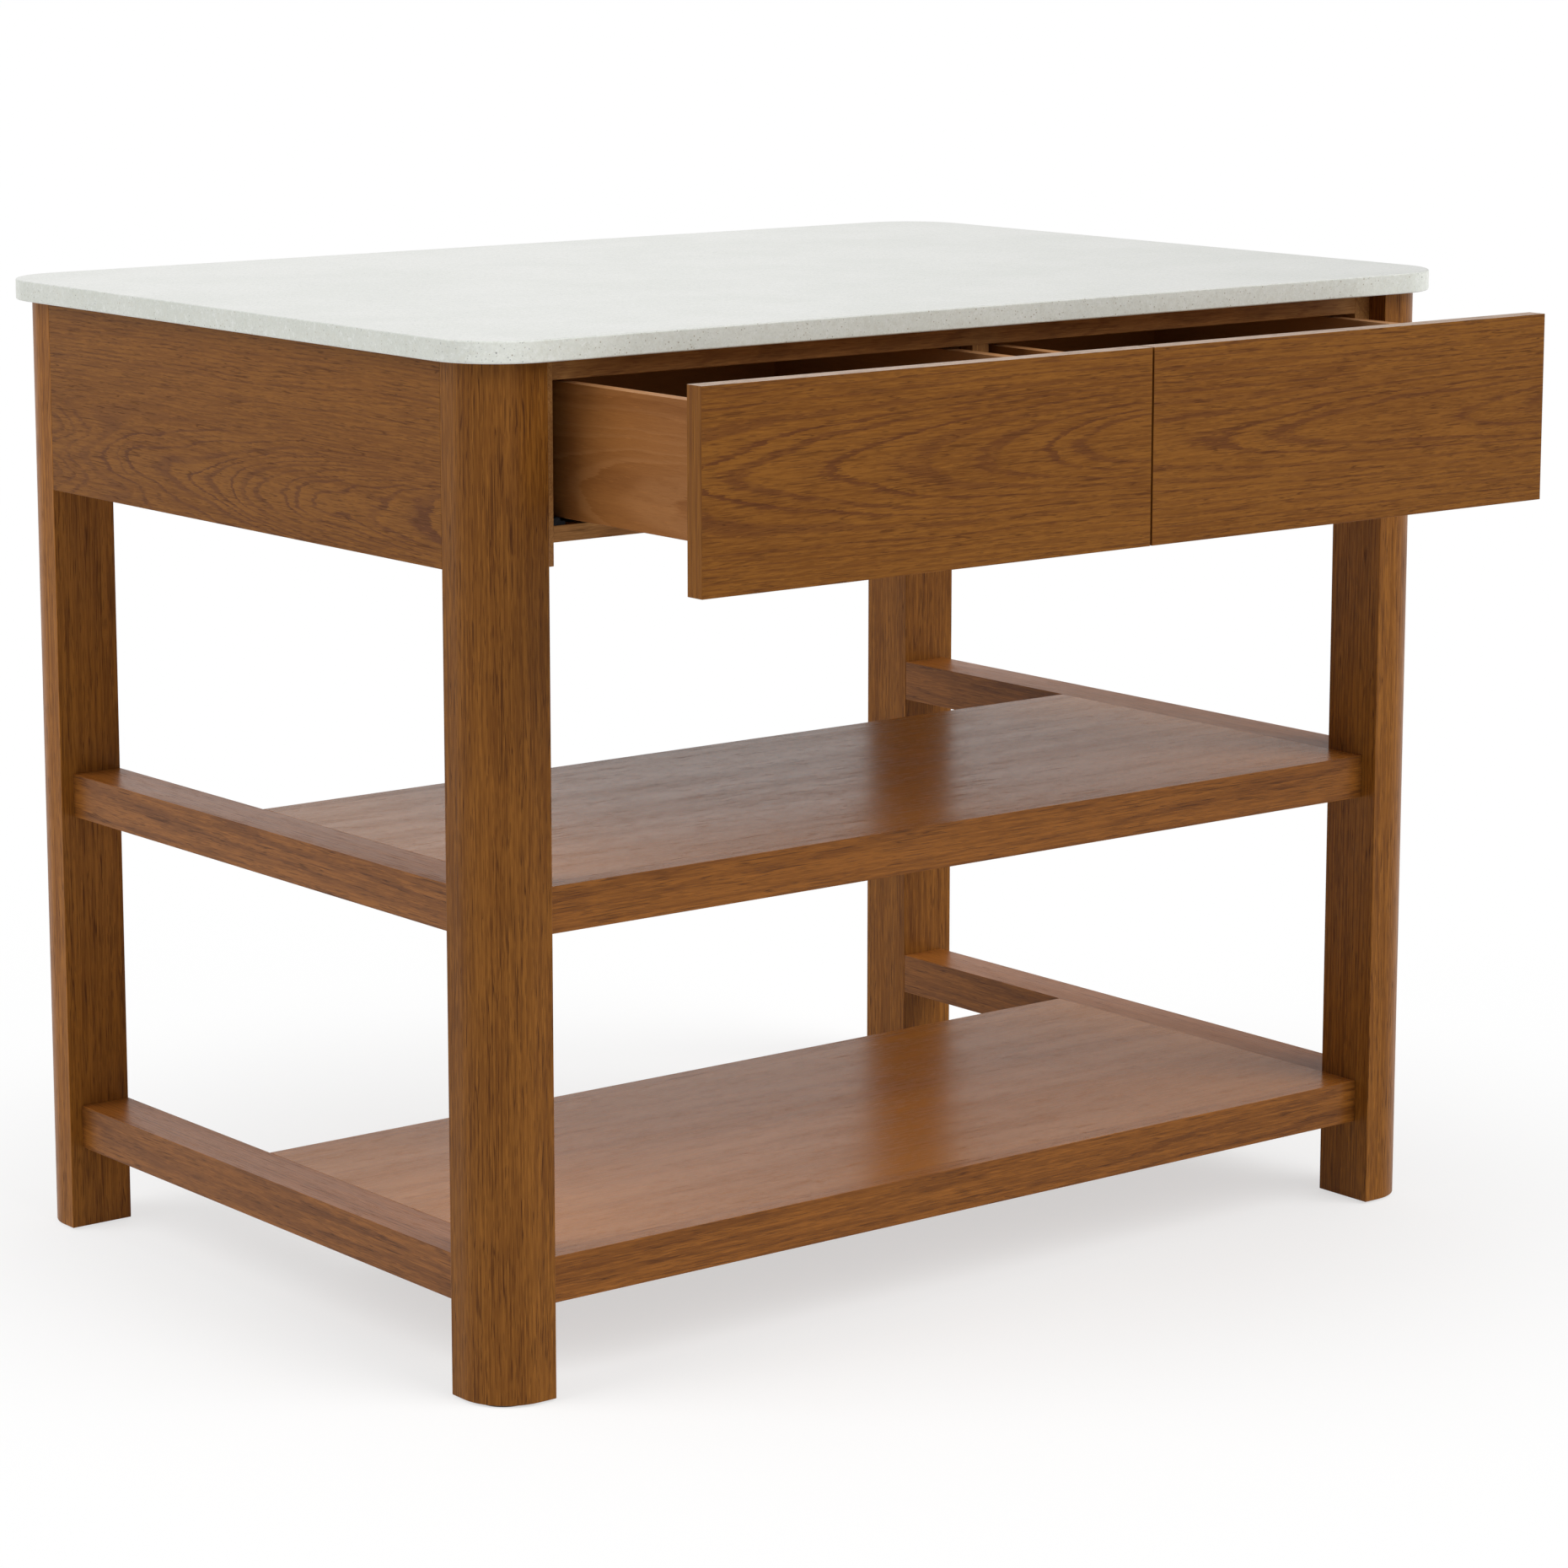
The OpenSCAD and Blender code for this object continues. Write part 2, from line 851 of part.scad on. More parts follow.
// Pads on the back of the front, against the rails above and below the opening
module drawer_bumpers(side_x) {
    pad_z = [sill_z - low_rail_h / 2, rail_under_z + bumper_d / 2 + bumper_up];
    color(felt)
        bay(side_x, 1)
            for (side = [-1, 1])
                for (z = pad_z)
                    rod_y(bumper_d, side * (bay_w / 2 - bumper_in), closed_y,
                          closed_y + close_gap - running_gap, z);
}

module left_drawer_bumpers() drawer_bumpers(-1);
module right_drawer_bumpers() drawer_bumpers(1);

// ---------- one line for each node ----------

worktop();
leg_front_left();
leg_front_right();
leg_back_left();
leg_back_right();
leg_glides();
end_apron_left();
end_apron_right();
back_apron();
mid_rail_left();
mid_rail_right();
low_rail_left();
low_rail_right();
mid_shelf_panel();
mid_shelf_front_edge();
mid_shelf_back_edge();
low_shelf_panel();
low_shelf_front_edge();
low_shelf_back_edge();
shelf_cleats();
shelf_screws();
frame_dowels();
corner_blocks();
leg_bolts();
case_side_left();
case_side_right();
case_divider();
case_back();
case_top_rail();
case_bottom_rail();
case_stile();
case_screws();
worktop_brackets();
slide_end_caps();
left_slide_case_rails();
right_slide_case_rails();
left_slide_mid_rails();
left_slide_case_cages();
left_slide_drawer_cages();
right_slide_mid_rails();
right_slide_case_cages();
right_slide_drawer_cages();
left_drawer_front();
left_drawer_box_front();
left_drawer_box_back();
left_drawer_side_outer();
left_drawer_side_inner();
left_drawer_bottom();
left_drawer_rails();
left_drawer_screws();
left_drawer_bumpers();
right_drawer_front();
right_drawer_box_front();
right_drawer_box_back();
right_drawer_side_outer();
right_drawer_side_inner();
right_drawer_bottom();
right_drawer_rails();
right_drawer_screws();
right_drawer_bumpers();
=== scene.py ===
"""Looks of the kitchen island: finishes, eased edges, small fittings, stage, lights and camera.

Metres, in the frame of the CAD model: +Z up, the drawers open towards -Y.
"""
import json
import math
import random

import bmesh
import bpy
from mathutils import Matrix, Vector


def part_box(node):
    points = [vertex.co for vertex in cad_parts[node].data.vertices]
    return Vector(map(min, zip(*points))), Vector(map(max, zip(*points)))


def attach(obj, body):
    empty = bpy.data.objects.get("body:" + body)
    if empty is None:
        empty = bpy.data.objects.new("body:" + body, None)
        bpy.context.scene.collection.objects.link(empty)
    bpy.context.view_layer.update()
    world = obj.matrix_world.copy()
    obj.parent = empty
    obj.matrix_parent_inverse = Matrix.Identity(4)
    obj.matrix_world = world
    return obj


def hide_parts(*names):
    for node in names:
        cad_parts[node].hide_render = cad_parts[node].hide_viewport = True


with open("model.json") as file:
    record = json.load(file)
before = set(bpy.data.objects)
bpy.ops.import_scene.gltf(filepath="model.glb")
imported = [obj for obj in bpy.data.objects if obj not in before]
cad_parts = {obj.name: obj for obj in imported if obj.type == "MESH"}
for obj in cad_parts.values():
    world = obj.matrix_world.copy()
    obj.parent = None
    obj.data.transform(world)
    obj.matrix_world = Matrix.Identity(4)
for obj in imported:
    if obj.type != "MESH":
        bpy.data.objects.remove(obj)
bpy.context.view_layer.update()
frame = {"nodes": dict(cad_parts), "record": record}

NODES = frame["nodes"]
BODY_OF = {node: body for body, nodes in frame["record"]["behaviour"]["bodies"].items()
           for node in nodes}
SLOT_OF = {node: piece.material_slots[0].material.name.split(".")[0]
           for node, piece in NODES.items()}
SIDES = {"left": -1, "right": 1}
LEVELS = ("mid", "low")
MM = 0.001


# ---------- node trees ----------

class Graph:
    """A node tree, with short ways to add the nodes that the finishes use."""

    def __init__(self, tree):
        self.tree = tree

    def put(self, socket, value):
        """Links another socket to this one, or sets its value."""
        if isinstance(value, bpy.types.NodeSocket):
            self.tree.links.new(value, socket)
        else:
            socket.default_value = value

    def node(self, kind, inputs=None, **settings):
        made = self.tree.nodes.new(kind)
        for key, value in settings.items():
            setattr(made, key, value)
        for key, value in (inputs or {}).items():
            self.put(made.inputs[key], value)
        return made

    def math(self, operation, a, b=0.0, c=0.0):
        return self.node("ShaderNodeMath", {0: a, 1: b, 2: c}, operation=operation).outputs[0]

    def vector(self, operation, a, b=(0.0, 0.0, 0.0)):
        made = self.node("ShaderNodeVectorMath", {0: a, 1: b}, operation=operation)
        gives_number = operation in ("LENGTH", "DISTANCE", "DOT_PRODUCT")
        return made.outputs["Value" if gives_number else "Vector"]

    def split(self, vector):
        return self.node("ShaderNodeSeparateXYZ", {0: vector}).outputs

    def join(self, x, y, z):
        return self.node("ShaderNodeCombineXYZ", {0: x, 1: y, 2: z}).outputs[0]

    def mix(self, factor, a, b, blend="MIX"):
        made = self.node("ShaderNodeMix", {0: factor, 6: a, 7: b},
                         data_type="RGBA", blend_type=blend)
        return made.outputs[2]

    def times(self, a, b):
        return self.mix(1.0, a, b, blend="MULTIPLY")

    def mix_vector(self, factor, a, b):
        return self.node("ShaderNodeMix", {0: factor, 4: a, 5: b}, data_type="VECTOR").outputs[1]

    def fit(self, value, low, high, new_low=0.0, new_high=1.0, smooth=True):
        """The value's place between low and high, mapped onto new_low to new_high."""
        made = self.node("ShaderNodeMapRange",
                         {0: value, 1: low, 2: high, 3: new_low, 4: new_high},
                         interpolation_type="SMOOTHSTEP" if smooth else "LINEAR")
        return made.outputs[0]

    def noise(self, point, stretch, detail=2.0, roughness=0.5):
        """Noise with so many lumps to the metre along each axis, around 0.5."""
        scaled = self.vector("MULTIPLY", point, stretch)
        made = self.node("ShaderNodeTexNoise",
                         {"Vector": scaled, "Scale": 1.0, "Detail": detail,
                          "Roughness": roughness})
        return made.outputs[0]

    def cells(self, point, per_metre):
        return self.node("ShaderNodeTexVoronoi", {"Vector": point, "Scale": per_metre}).outputs

    def curve(self, value, *stops):
        """A grey ramp through (place, height) stops."""
        ramp = self.node("ShaderNodeValToRGB", {0: value})
        band = ramp.color_ramp
        while len(band.elements) < len(stops):
            band.elements.new(0.5)
        for element, (place, height) in zip(band.elements, stops):
            element.position = place
            element.color = (height, height, height, 1.0)
        return ramp.outputs[0]


def colour(r, g, b):
    return (r, g, b, 1.0)


def new_group(name, tree_type, inputs, outputs):
    """An empty node group with its sockets: (tree, graph, what is given to it)."""
    tree = bpy.data.node_groups.new(name, tree_type)
    for in_out, sockets in (("INPUT", inputs), ("OUTPUT", outputs)):
        for socket, kind in sockets.items():
            tree.interface.new_socket(socket, in_out=in_out, socket_type="NodeSocket" + kind)
    graph = Graph(tree)
    return tree, graph, graph.node("NodeGroupInput").outputs


def new_material(name):
    """An empty material with its principled shader: (graph, shader inputs, material)."""
    material = bpy.data.materials.new(name)
    material.use_nodes = True
    material.node_tree.nodes.clear()
    graph = Graph(material.node_tree)
    shader = graph.node("ShaderNodeBsdfPrincipled")
    graph.node("ShaderNodeOutputMaterial", {"Surface": shader.outputs[0]})
    return graph, shader.inputs, material


def connect(graph, inputs, **values):
    """Sets or links the shader's inputs; an underscore stands for a space."""
    for key, value in values.items():
        graph.put(inputs[key.replace("_", " ")], value)


def bumped(graph, height, depth, strength=1.0):
    return graph.node("ShaderNodeBump", {"Height": height, "Distance": depth,
                                         "Strength": strength}).outputs[0]


# ---------- wood ----------

def ring_figure(g, given, fine, middle, slow, blots):
    """Growth rings round the tree's middle, broken up along the grain."""
    x, y, z = g.split(given["Point"])
    across = g.math("SUBTRACT", y, given["Pith Across"])
    deep = g.math("ADD", z, given["Pith Depth"])
    radius = g.math("SQRT", g.math("ADD", g.math("MULTIPLY", across, across),
                                   g.math("MULTIPLY", deep, deep)))
    # The rings taper in the middle of the board and run straight towards its edges
    middle_share = g.fit(g.math("ABSOLUTE", across), 0.015, 0.060, 1.0, 0.12)
    lean = g.math("MULTIPLY", given["Taper"], middle_share)
    radius = g.math("MULTIPLY_ADD", x, lean, radius)
    radius = g.math("MULTIPLY_ADD", g.math("SUBTRACT", slow, 0.5), given["Wander"], radius)
    # Feathered edges: the rings end in short streaks along the grain
    radius = g.math("MULTIPLY_ADD", middle, 0.0024, radius)
    radius = g.math("MULTIPLY_ADD", fine, 0.0016, radius)
    phase = g.math("DIVIDE", radius, given["Ring"])
    uneven = g.noise(g.join(phase, 0.0, 0.0), (0.40, 1.0, 1.0), 1.0)
    phase = g.math("MULTIPLY_ADD", uneven, 2.6, phase)
    whole = g.math("FLOOR", phase)
    part = g.math("SUBTRACT", phase, whole)
    chance = g.node("ShaderNodeTexWhiteNoise", {"W": whole}, noise_dimensions="1D").outputs[0]
    band = g.curve(part, (0.0, 0.0), (0.05, 1.0), (0.26, 0.90), (0.38, 0.20), (1.0, 0.0))
    rings = g.math("MULTIPLY", band, g.fit(chance, 0.0, 1.0, 0.50, 1.0, smooth=False))
    rings = g.math("MULTIPLY", rings, g.fit(blots, 0.34, 0.52, 0.55, 1.0))
    return g.math("MULTIPLY", rings, g.fit(middle_share, 0.12, 0.9, 0.65, 1.0))


LONG_PORES = ((30.0, 430.0, 430.0), 0.18)
FINE_PORES = ((80.0, 860.0, 860.0), 0.26)


def dashes(g, point, stretch, size):
    """Dashes along the grain, one to a cell: (where they are, three random values of each)."""
    cell = g.cells(g.vector("MULTIPLY", point, stretch), 1.0)
    dice = g.split(cell["Color"])
    reach = g.math("MULTIPLY_ADD", dice[0], 0.22, size)
    return g.fit(g.math("DIVIDE", cell["Distance"], reach), 1.0, 0.6), dice


def pore_figure(g, point, middle, blots, rings):
    """Pores, long ones and fine ones, and pale flecks in place of a few fine ones."""
    long_pore, long_dice = dashes(g, point, *LONG_PORES)
    fine_pore, fine_dice = dashes(g, point, *FINE_PORES)
    long_pore = g.math("MULTIPLY", long_pore,
                       g.fit(long_dice[1], 0.0, 1.0, 0.30, 1.0, smooth=False))
    dark_fine = g.math("MULTIPLY", fine_pore, g.math("GREATER_THAN", fine_dice[1], 0.3))
    pores = g.math("MAXIMUM", long_pore, g.math("MULTIPLY", dark_fine, 0.7))
    pores = g.math("MULTIPLY", pores, g.fit(middle, 0.40, 0.56, 0.35, 1.0))
    pores = g.math("MULTIPLY", pores, g.fit(rings, 0.0, 0.5, 0.75, 1.0))
    # Thin broken lines, where a long drawn-out noise passes through its middle value
    drawn = g.noise(g.vector("ADD", point, (3.0, 5.0, 7.0)), (8.0, 210.0, 210.0), 2.0, 0.55)
    line = g.fit(g.math("ABSOLUTE", g.math("SUBTRACT", drawn, 0.5)), 0.0, 0.024, 1.0, 0.0)
    line = g.math("MULTIPLY", line, g.fit(blots, 0.38, 0.58, 0.15, 0.85))
    flecks = g.math("MULTIPLY", fine_pore, g.math("LESS_THAN", fine_dice[1], 0.12))
    return g.math("MAXIMUM", pores, line), flecks


def figure_group():
    """Growth rings, pores and streaks of a board, as one group that all woods share.

    Point runs along the grain in X, across the face in Y and into the board in Z, from the
    board's middle. Shift moves the noise, so that no two boards are alike.
    """
    tree, g, given = new_group(
        "wood_figure", "ShaderNodeTree",
        {"Point": "Vector", "Shift": "Vector", "Pith Across": "Float", "Pith Depth": "Float",
         "Ring": "Float", "Taper": "Float", "Wander": "Float"},
        dict.fromkeys(("Rings", "Pores", "Flecks", "Streaks", "Tone"), "Float"))
    point = g.vector("ADD", given["Point"], given["Shift"])
    fine = g.noise(point, (55.0, 1000.0, 1000.0), 2.0, 0.6)
    middle = g.noise(point, (19.0, 330.0, 330.0), 3.0, 0.6)
    tone = g.noise(point, (2.6, 32.0, 32.0), 2.0)
    slow = g.noise(point, (5.0, 18.0, 18.0), 2.0, 0.45)
    blots = g.noise(point, (28.0, 75.0, 75.0), 2.0)
    rings = ring_figure(g, given, fine, middle, slow, blots)
    pores, flecks = pore_figure(g, point, middle, blots, rings)
    streaks = g.math("MULTIPLY_ADD", fine, 0.45, g.math("MULTIPLY", middle, 0.55))
    g.node("NodeGroupOutput", {"Rings": rings, "Pores": pores, "Flecks": flecks,
                               "Streaks": streaks, "Tone": tone})
    return tree


FIGURE = figure_group()


class Wood:
    """A wood's colours and how strongly its figure shows.

    lift is what a board's top face is multiplied by, where it takes painted top light and sheen.
    """

    def __init__(self, light, dark, ring, pore, rings=0.6, pores=0.6, flecks=0.3,
                 streaks=0.5, tone=0.3, roughness=0.34, ior=1.20, lift=(1.58, 1.34, 1.10)):
        self.light, self.dark, self.ring, self.pore, self.lift = light, dark, ring, pore, lift
        self.rings, self.pores, self.flecks = rings, pores, flecks
        self.streaks, self.tone = streaks, tone
        self.roughness, self.ior = roughness, ior


# A wood's lift is painted top light and sheen on the top faces of the boards that take it.
OAK = Wood(light=(0.208, 0.079, 0.011), dark=(0.114, 0.036, 0.004),
           ring=(0.094, 0.029, 0.007), pore=(0.072, 0.022, 0.003),
           rings=0.95, pores=0.92, streaks=0.70, tone=0.30, ior=1.18)
LEG_OAK = Wood(light=(0.224, 0.086, 0.014), dark=(0.108, 0.035, 0.005),
               ring=(0.096, 0.031, 0.006), pore=(0.048, 0.014, 0.003),
               rings=0.80, pores=0.95, streaks=0.72, tone=0.35, ior=1.18)
RAIL_OAK = Wood(light=(0.244, 0.089, 0.017), dark=(0.108, 0.035, 0.006),
                ring=(0.098, 0.031, 0.007), pore=(0.052, 0.016, 0.004),
                rings=0.80, pores=0.90, flecks=0.40, streaks=0.72, tone=0.34, ior=1.25,
                lift=(1.42, 1.34, 1.20))
SHELF_EDGE_OAK = Wood(light=(0.252, 0.091, 0.016), dark=(0.110, 0.035, 0.006),
                      ring=(0.098, 0.031, 0.007), pore=(0.052, 0.016, 0.004),
                      rings=0.75, pores=0.90, flecks=0.40, streaks=0.62, tone=0.30,
                      roughness=0.24, ior=1.22, lift=(1.68, 1.72, 1.66))
# The shelf panel's oak is paler: partly a paler veneer, partly painted light on its top.
SHELF_OAK_AND_TOP_LIGHT = Wood(light=(0.400, 0.150, 0.025), dark=(0.240, 0.082, 0.012),
                 ring=(0.215, 0.068, 0.012), pore=(0.140, 0.044, 0.007),
                 rings=0.40, pores=0.22, streaks=0.36, tone=0.25, roughness=0.24, ior=1.22)
# The case's woods are painted paler than the oak outside: painted light in the shade under the
# worktop and inside the case.
CASE_OAK_PAINTED_LIGHT = Wood(light=(0.400, 0.190, 0.060), dark=(0.210, 0.088, 0.026),
                ring=(0.180, 0.075, 0.024), pore=(0.110, 0.044, 0.012),
                rings=0.6, pores=0.6, streaks=0.6, tone=0.3, roughness=0.45)
CASE_PANEL_PAINTED_LIGHT = Wood(light=(0.520, 0.330, 0.180), dark=(0.390, 0.230, 0.115),
                  ring=(0.360, 0.205, 0.100), pore=(0.300, 0.165, 0.075),
                  rings=0.5, pores=0.3, streaks=0.4, tone=0.3, roughness=0.5)
BOX_WOOD = Wood(light=(0.250, 0.098, 0.026), dark=(0.150, 0.050, 0.011),
                ring=(0.360, 0.165, 0.060), pore=(0.115, 0.038, 0.008),
                rings=0.40, pores=0.15, streaks=0.25, tone=0.55, roughness=0.42,
                lift=(1.75, 2.20, 3.40))
PLY = Wood(light=(0.500, 0.320, 0.165), dark=(0.370, 0.220, 0.105),
           ring=(0.340, 0.195, 0.090), pore=(0.280, 0.150, 0.065),
           rings=0.45, pores=0.2, streaks=0.35, tone=0.4, roughness=0.5)

PALE_SHARE = 0.7
# A painted highlight of top light and sheen on the drawer fronts' top faces.
PAINTED_TOP_HIGHLIGHT = (0.500, 0.375, 0.290)
# The drawer boxes' inside faces: partly less stained wood, partly painted light in their shade.
PALE_AND_LIT_INSIDE = (0.370, 0.195, 0.085)
AXES = {"X": 0, "Y": 1, "Z": 2}
FACES_ALONG = 0.6  # a face with more of its normal than this along an axis faces that way
TOP_LIGHT_CALM = 0.5  # how much a board's figure fades on its top face under painted top light and sheen
TOP_LIGHT_CALM_DARK = 0.3  # and the darkness that it fades towards


def board_point(g, place, normal, centre, along, flat, end_band):
    """The place on a board, turned so that the grain runs along X and Z is its depth."""
    grain, depth = AXES[along], AXES[flat]
    width = ({0, 1, 2} - {grain, depth}).pop()
    parts = g.split(g.vector("SUBTRACT", place, tuple(centre)))
    point = g.join(parts[grain], parts[width], parts[depth])
    if not end_band:
        return point
    on_end = g.math("GREATER_THAN", g.math("ABSOLUTE", normal[AXES[end_band]]), FACES_ALONG)
    upright = g.join(parts[width], parts[depth], parts[grain])
    upright = g.vector("ADD", g.vector("MULTIPLY", upright, (0.3, 1.0, 1.0)), (0.0, 0.15, 0.0))
    return g.mix_vector(on_end, point, upright)


def wood_colour(g, wood, figure, normal, tint, lifted, pale, gain):
    """A board's colour: its stain, rings, flecks and pores, then paler faces and painted light."""
    dark = g.fit(figure["Streaks"], 0.58, 0.42, 0.24 - 0.36 * wood.streaks + tint,
                 0.24 + 0.50 * wood.streaks + tint, smooth=False)
    dark = g.math("ADD", dark, g.fit(figure["Tone"], 0.3, 0.7, -0.5 * wood.tone, 0.5 * wood.tone))
    pores = g.math("MULTIPLY", figure["Pores"], wood.pores)
    # Painted top light and sheen: the figure fades on the top face.
    if lifted:
        on_top = g.math("GREATER_THAN", normal[2], FACES_ALONG)
        calm = g.math("MULTIPLY_ADD", on_top, -TOP_LIGHT_CALM, 1.0)
        dark = g.math("MULTIPLY_ADD", g.math("SUBTRACT", dark, TOP_LIGHT_CALM_DARK), calm, TOP_LIGHT_CALM_DARK)
        pores = g.math("MULTIPLY", pores, calm)
    base = g.mix(g.math("MAXIMUM", g.math("MINIMUM", dark, 1.0), 0.0),
                 colour(*wood.light), colour(*wood.dark))
    base = g.mix(g.math("MULTIPLY", figure["Rings"], wood.rings), base, colour(*wood.ring))
    base = g.mix(g.math("MULTIPLY", figure["Flecks"], wood.flecks), base,
                 colour(*(1.45 * c for c in wood.light)))
    # Paler faces: a painted highlight on the drawer fronts' tops; inside the boxes partly less
    # stained wood and partly painted light in their shade.
    if pale:
        axis, side, paler = pale
        faces = g.math("GREATER_THAN", g.math("MULTIPLY", normal[AXES[axis]], side), FACES_ALONG)
        base = g.mix(g.math("MULTIPLY", faces, PALE_SHARE), base, colour(*paler))
    base = g.mix(pores, base, colour(*wood.pore))
    # Painted top light and sheen: the top face is multiplied by the wood's lift.
    if lifted:
        base = g.mix(on_top, base, g.times(base, colour(*wood.lift)))
    # Painted fill light: the whole board paler where it stands in shade.
    if gain != 1.0:
        base = g.times(base, colour(gain, gain, gain))
    return base


def wood_material(name, wood, centre, along="X", flat="Y", pith=(0.0, 0.07), ring=0.0045,
                  taper=0.05, wander=0.012, end_band=None, lifted=False, pale=None,
                  gain=1.0, stretch=1.0, narrow=1.0):
    """A board's finish. along is the grain's axis and flat the axis through its faces.

    pith is the place of the tree's middle across the board and behind its face. end_band is
    the axis of the ends that carry a strip with upright grain. A board can be made paler on
    its top face, with a fainter figure, as painted top light and sheen. pale is (axis, side,
    colour) of faces made paler: a painted highlight on the drawer fronts' tops, and inside the
    drawer boxes partly less stained wood and partly painted light in their shade. A whole
    board can be made paler as painted fill light where it stands in shade; stretch draws its
    figure out along the grain, and narrow makes its lines finer across the grain.
    """
    g, inputs, material = new_material(name)
    draw = random.Random(name)
    shift = tuple(draw.uniform(-9.0, 9.0) for _ in range(3))
    tint = draw.uniform(-0.06, 0.06)
    coords = g.node("ShaderNodeTexCoord").outputs
    normal = g.split(coords["Normal"])
    point = board_point(g, coords["Object"], normal, centre, along, flat, end_band)
    figure = g.node("ShaderNodeGroup",
                    {"Point": g.vector("MULTIPLY", point, (1 / stretch, narrow, narrow)),
                     "Shift": shift, "Pith Across": pith[0] * narrow,
                     "Pith Depth": pith[1] * narrow, "Ring": ring * narrow,
                     "Taper": taper * stretch * narrow, "Wander": wander},
                    node_tree=FIGURE).outputs
    pores, streaks = figure["Pores"], figure["Streaks"]
    rough = g.fit(figure["Tone"], 0.2, 0.8, wood.roughness - 0.04, wood.roughness + 0.04)
    height = g.math("MULTIPLY_ADD", pores, -1.0, g.math("MULTIPLY", streaks, 0.35))
    connect(g, inputs, Base_Color=wood_colour(g, wood, figure, normal, tint, lifted, pale, gain),
            Roughness=g.math("MULTIPLY_ADD", pores, 0.16, rough), IOR=wood.ior,
            Normal=bumped(g, height, 0.12 * MM, 0.6))
    return material


# ---------- stone, metal, plastic ----------

STONE_CLOUDS = colour(0.630, 0.640, 0.604), colour(0.676, 0.680, 0.650)
STONE_DARK_GRAIN = colour(0.480, 0.490, 0.470)
STONE_PALE_GRAIN = colour(0.740, 0.740, 0.730)
# The sawn edges' slight tint, with painted shade on the short edges and painted light on the long
# edges.
SHORT_EDGE_TINT_AND_SHADE = colour(0.875, 0.890, 0.860)
LONG_EDGE_TINT_AND_LIGHT = colour(1.060, 1.080, 1.050)
SAWN_TAN = colour(0.530, 0.520, 0.450)
SAWN_PALE = colour(0.760, 0.765, 0.750)
# (cells to the metre, how few of them hold a speck, its size, its colour)
STONE_SPECKS = ((210.0, 0.88, 0.24, colour(0.150, 0.150, 0.145)),
                (300.0, 0.80, 0.22, colour(0.330, 0.290, 0.220)),
                (520.0, 0.76, 0.32, colour(0.330, 0.340, 0.330)))


def sawn_colour_and_light(g, base, normal, upright, mottle):
    """The stone's sawn edges: mottled, the short ones in painted shade and the long in painted
    light.
    """
    # The long edges take painted light and the short ones painted shade.
    lit_long_edge = g.fit(g.math("ABSOLUTE", normal[1]), 0.2, 0.9)
    sawn = g.mix(lit_long_edge, SHORT_EDGE_TINT_AND_SHADE, LONG_EDGE_TINT_AND_LIGHT)
    base = g.mix(upright, base, g.times(base, sawn))
    base = g.mix(g.math("MULTIPLY", upright, g.fit(mottle, 0.48, 0.68, 0.0, 0.32)), base, SAWN_TAN)
    return g.mix(g.math("MULTIPLY", upright, g.fit(mottle, 0.44, 0.32, 0.0, 0.35)), base, SAWN_PALE)


def specked(g, base, place, upright, mottle):
    """Adds the specks, which show more on the sawn edges than on the polished top."""
    shows = g.math("MULTIPLY_ADD", upright, 0.50, 0.35)
    for per_metre, keep, size, tint in STONE_SPECKS:
        spots = g.cells(place, per_metre)
        dice = g.split(spots["Color"])
        chosen = g.math("GREATER_THAN", g.math("MULTIPLY_ADD", mottle, 0.5, dice[1]), keep + 0.25)
        reach = g.math("MULTIPLY_ADD", dice[0], 0.8 * size, 0.5 * size)
        inside = g.fit(g.math("DIVIDE", spots["Distance"], reach), 1.0, 0.55)
        base = g.mix(g.math("MULTIPLY", g.math("MULTIPLY", chosen, inside), shows), base, tint)
    return base


def quartz_material(name):
    """Pale engineered stone: fine grains, soft clouds, and a few dark and tan specks."""
    g, inputs, material = new_material(name)
    coords = g.node("ShaderNodeTexCoord").outputs
    place, normal = coords["Object"], g.split(coords["Normal"])
    clouds = g.noise(place, (9.0, 9.0, 9.0), 3.0, 0.55)
    mottle = g.noise(place, (190.0, 190.0, 190.0), 3.0, 0.7)
    grain = g.split(g.cells(place, 620.0)["Color"])[0]
    upright = g.fit(g.math("ABSOLUTE", normal[2]), 0.3, 0.9, 1.0, 0.0)
    base = g.mix(g.fit(clouds, 0.32, 0.68), *STONE_CLOUDS)
    base = g.mix(g.fit(grain, 0.0, 1.0, 0.0, 0.34, smooth=False), base, STONE_DARK_GRAIN)
    base = g.mix(g.fit(grain, 0.86, 0.97, 0.0, 0.55), base, STONE_PALE_GRAIN)
    base = sawn_colour_and_light(g, base, normal, upright, mottle)
    connect(g, inputs, Base_Color=specked(g, base, place, upright, mottle),
            Roughness=g.fit(grain, 0.0, 1.0, 0.30, 0.40, smooth=False), IOR=1.45,
            Normal=bumped(g, clouds, 0.1 * MM, 0.3))
    return material


def coated_material(name, base, low_rough, high_rough, grain_size, depth, ior):
    """Painted, coated or moulded surface with a fine even texture."""
    g, inputs, material = new_material(name)
    place = g.node("ShaderNodeTexCoord").outputs["Object"]
    per_metre = 1.0 / grain_size
    skin = g.noise(place, (per_metre,) * 3, 3.0, 0.6)
    wear = g.noise(place, (60.0, 22.0, 60.0), 3.0, 0.6)
    lighter = tuple(min(1.0, 1.5 * c + 0.012) for c in base)
    tint = g.mix(g.fit(wear, 0.35, 0.72), colour(*base), colour(*lighter))
    connect(g, inputs, Base_Color=tint, Roughness=g.fit(wear, 0.3, 0.7, low_rough, high_rough),
            IOR=ior, Normal=bumped(g, skin, depth, 0.5))
    return material


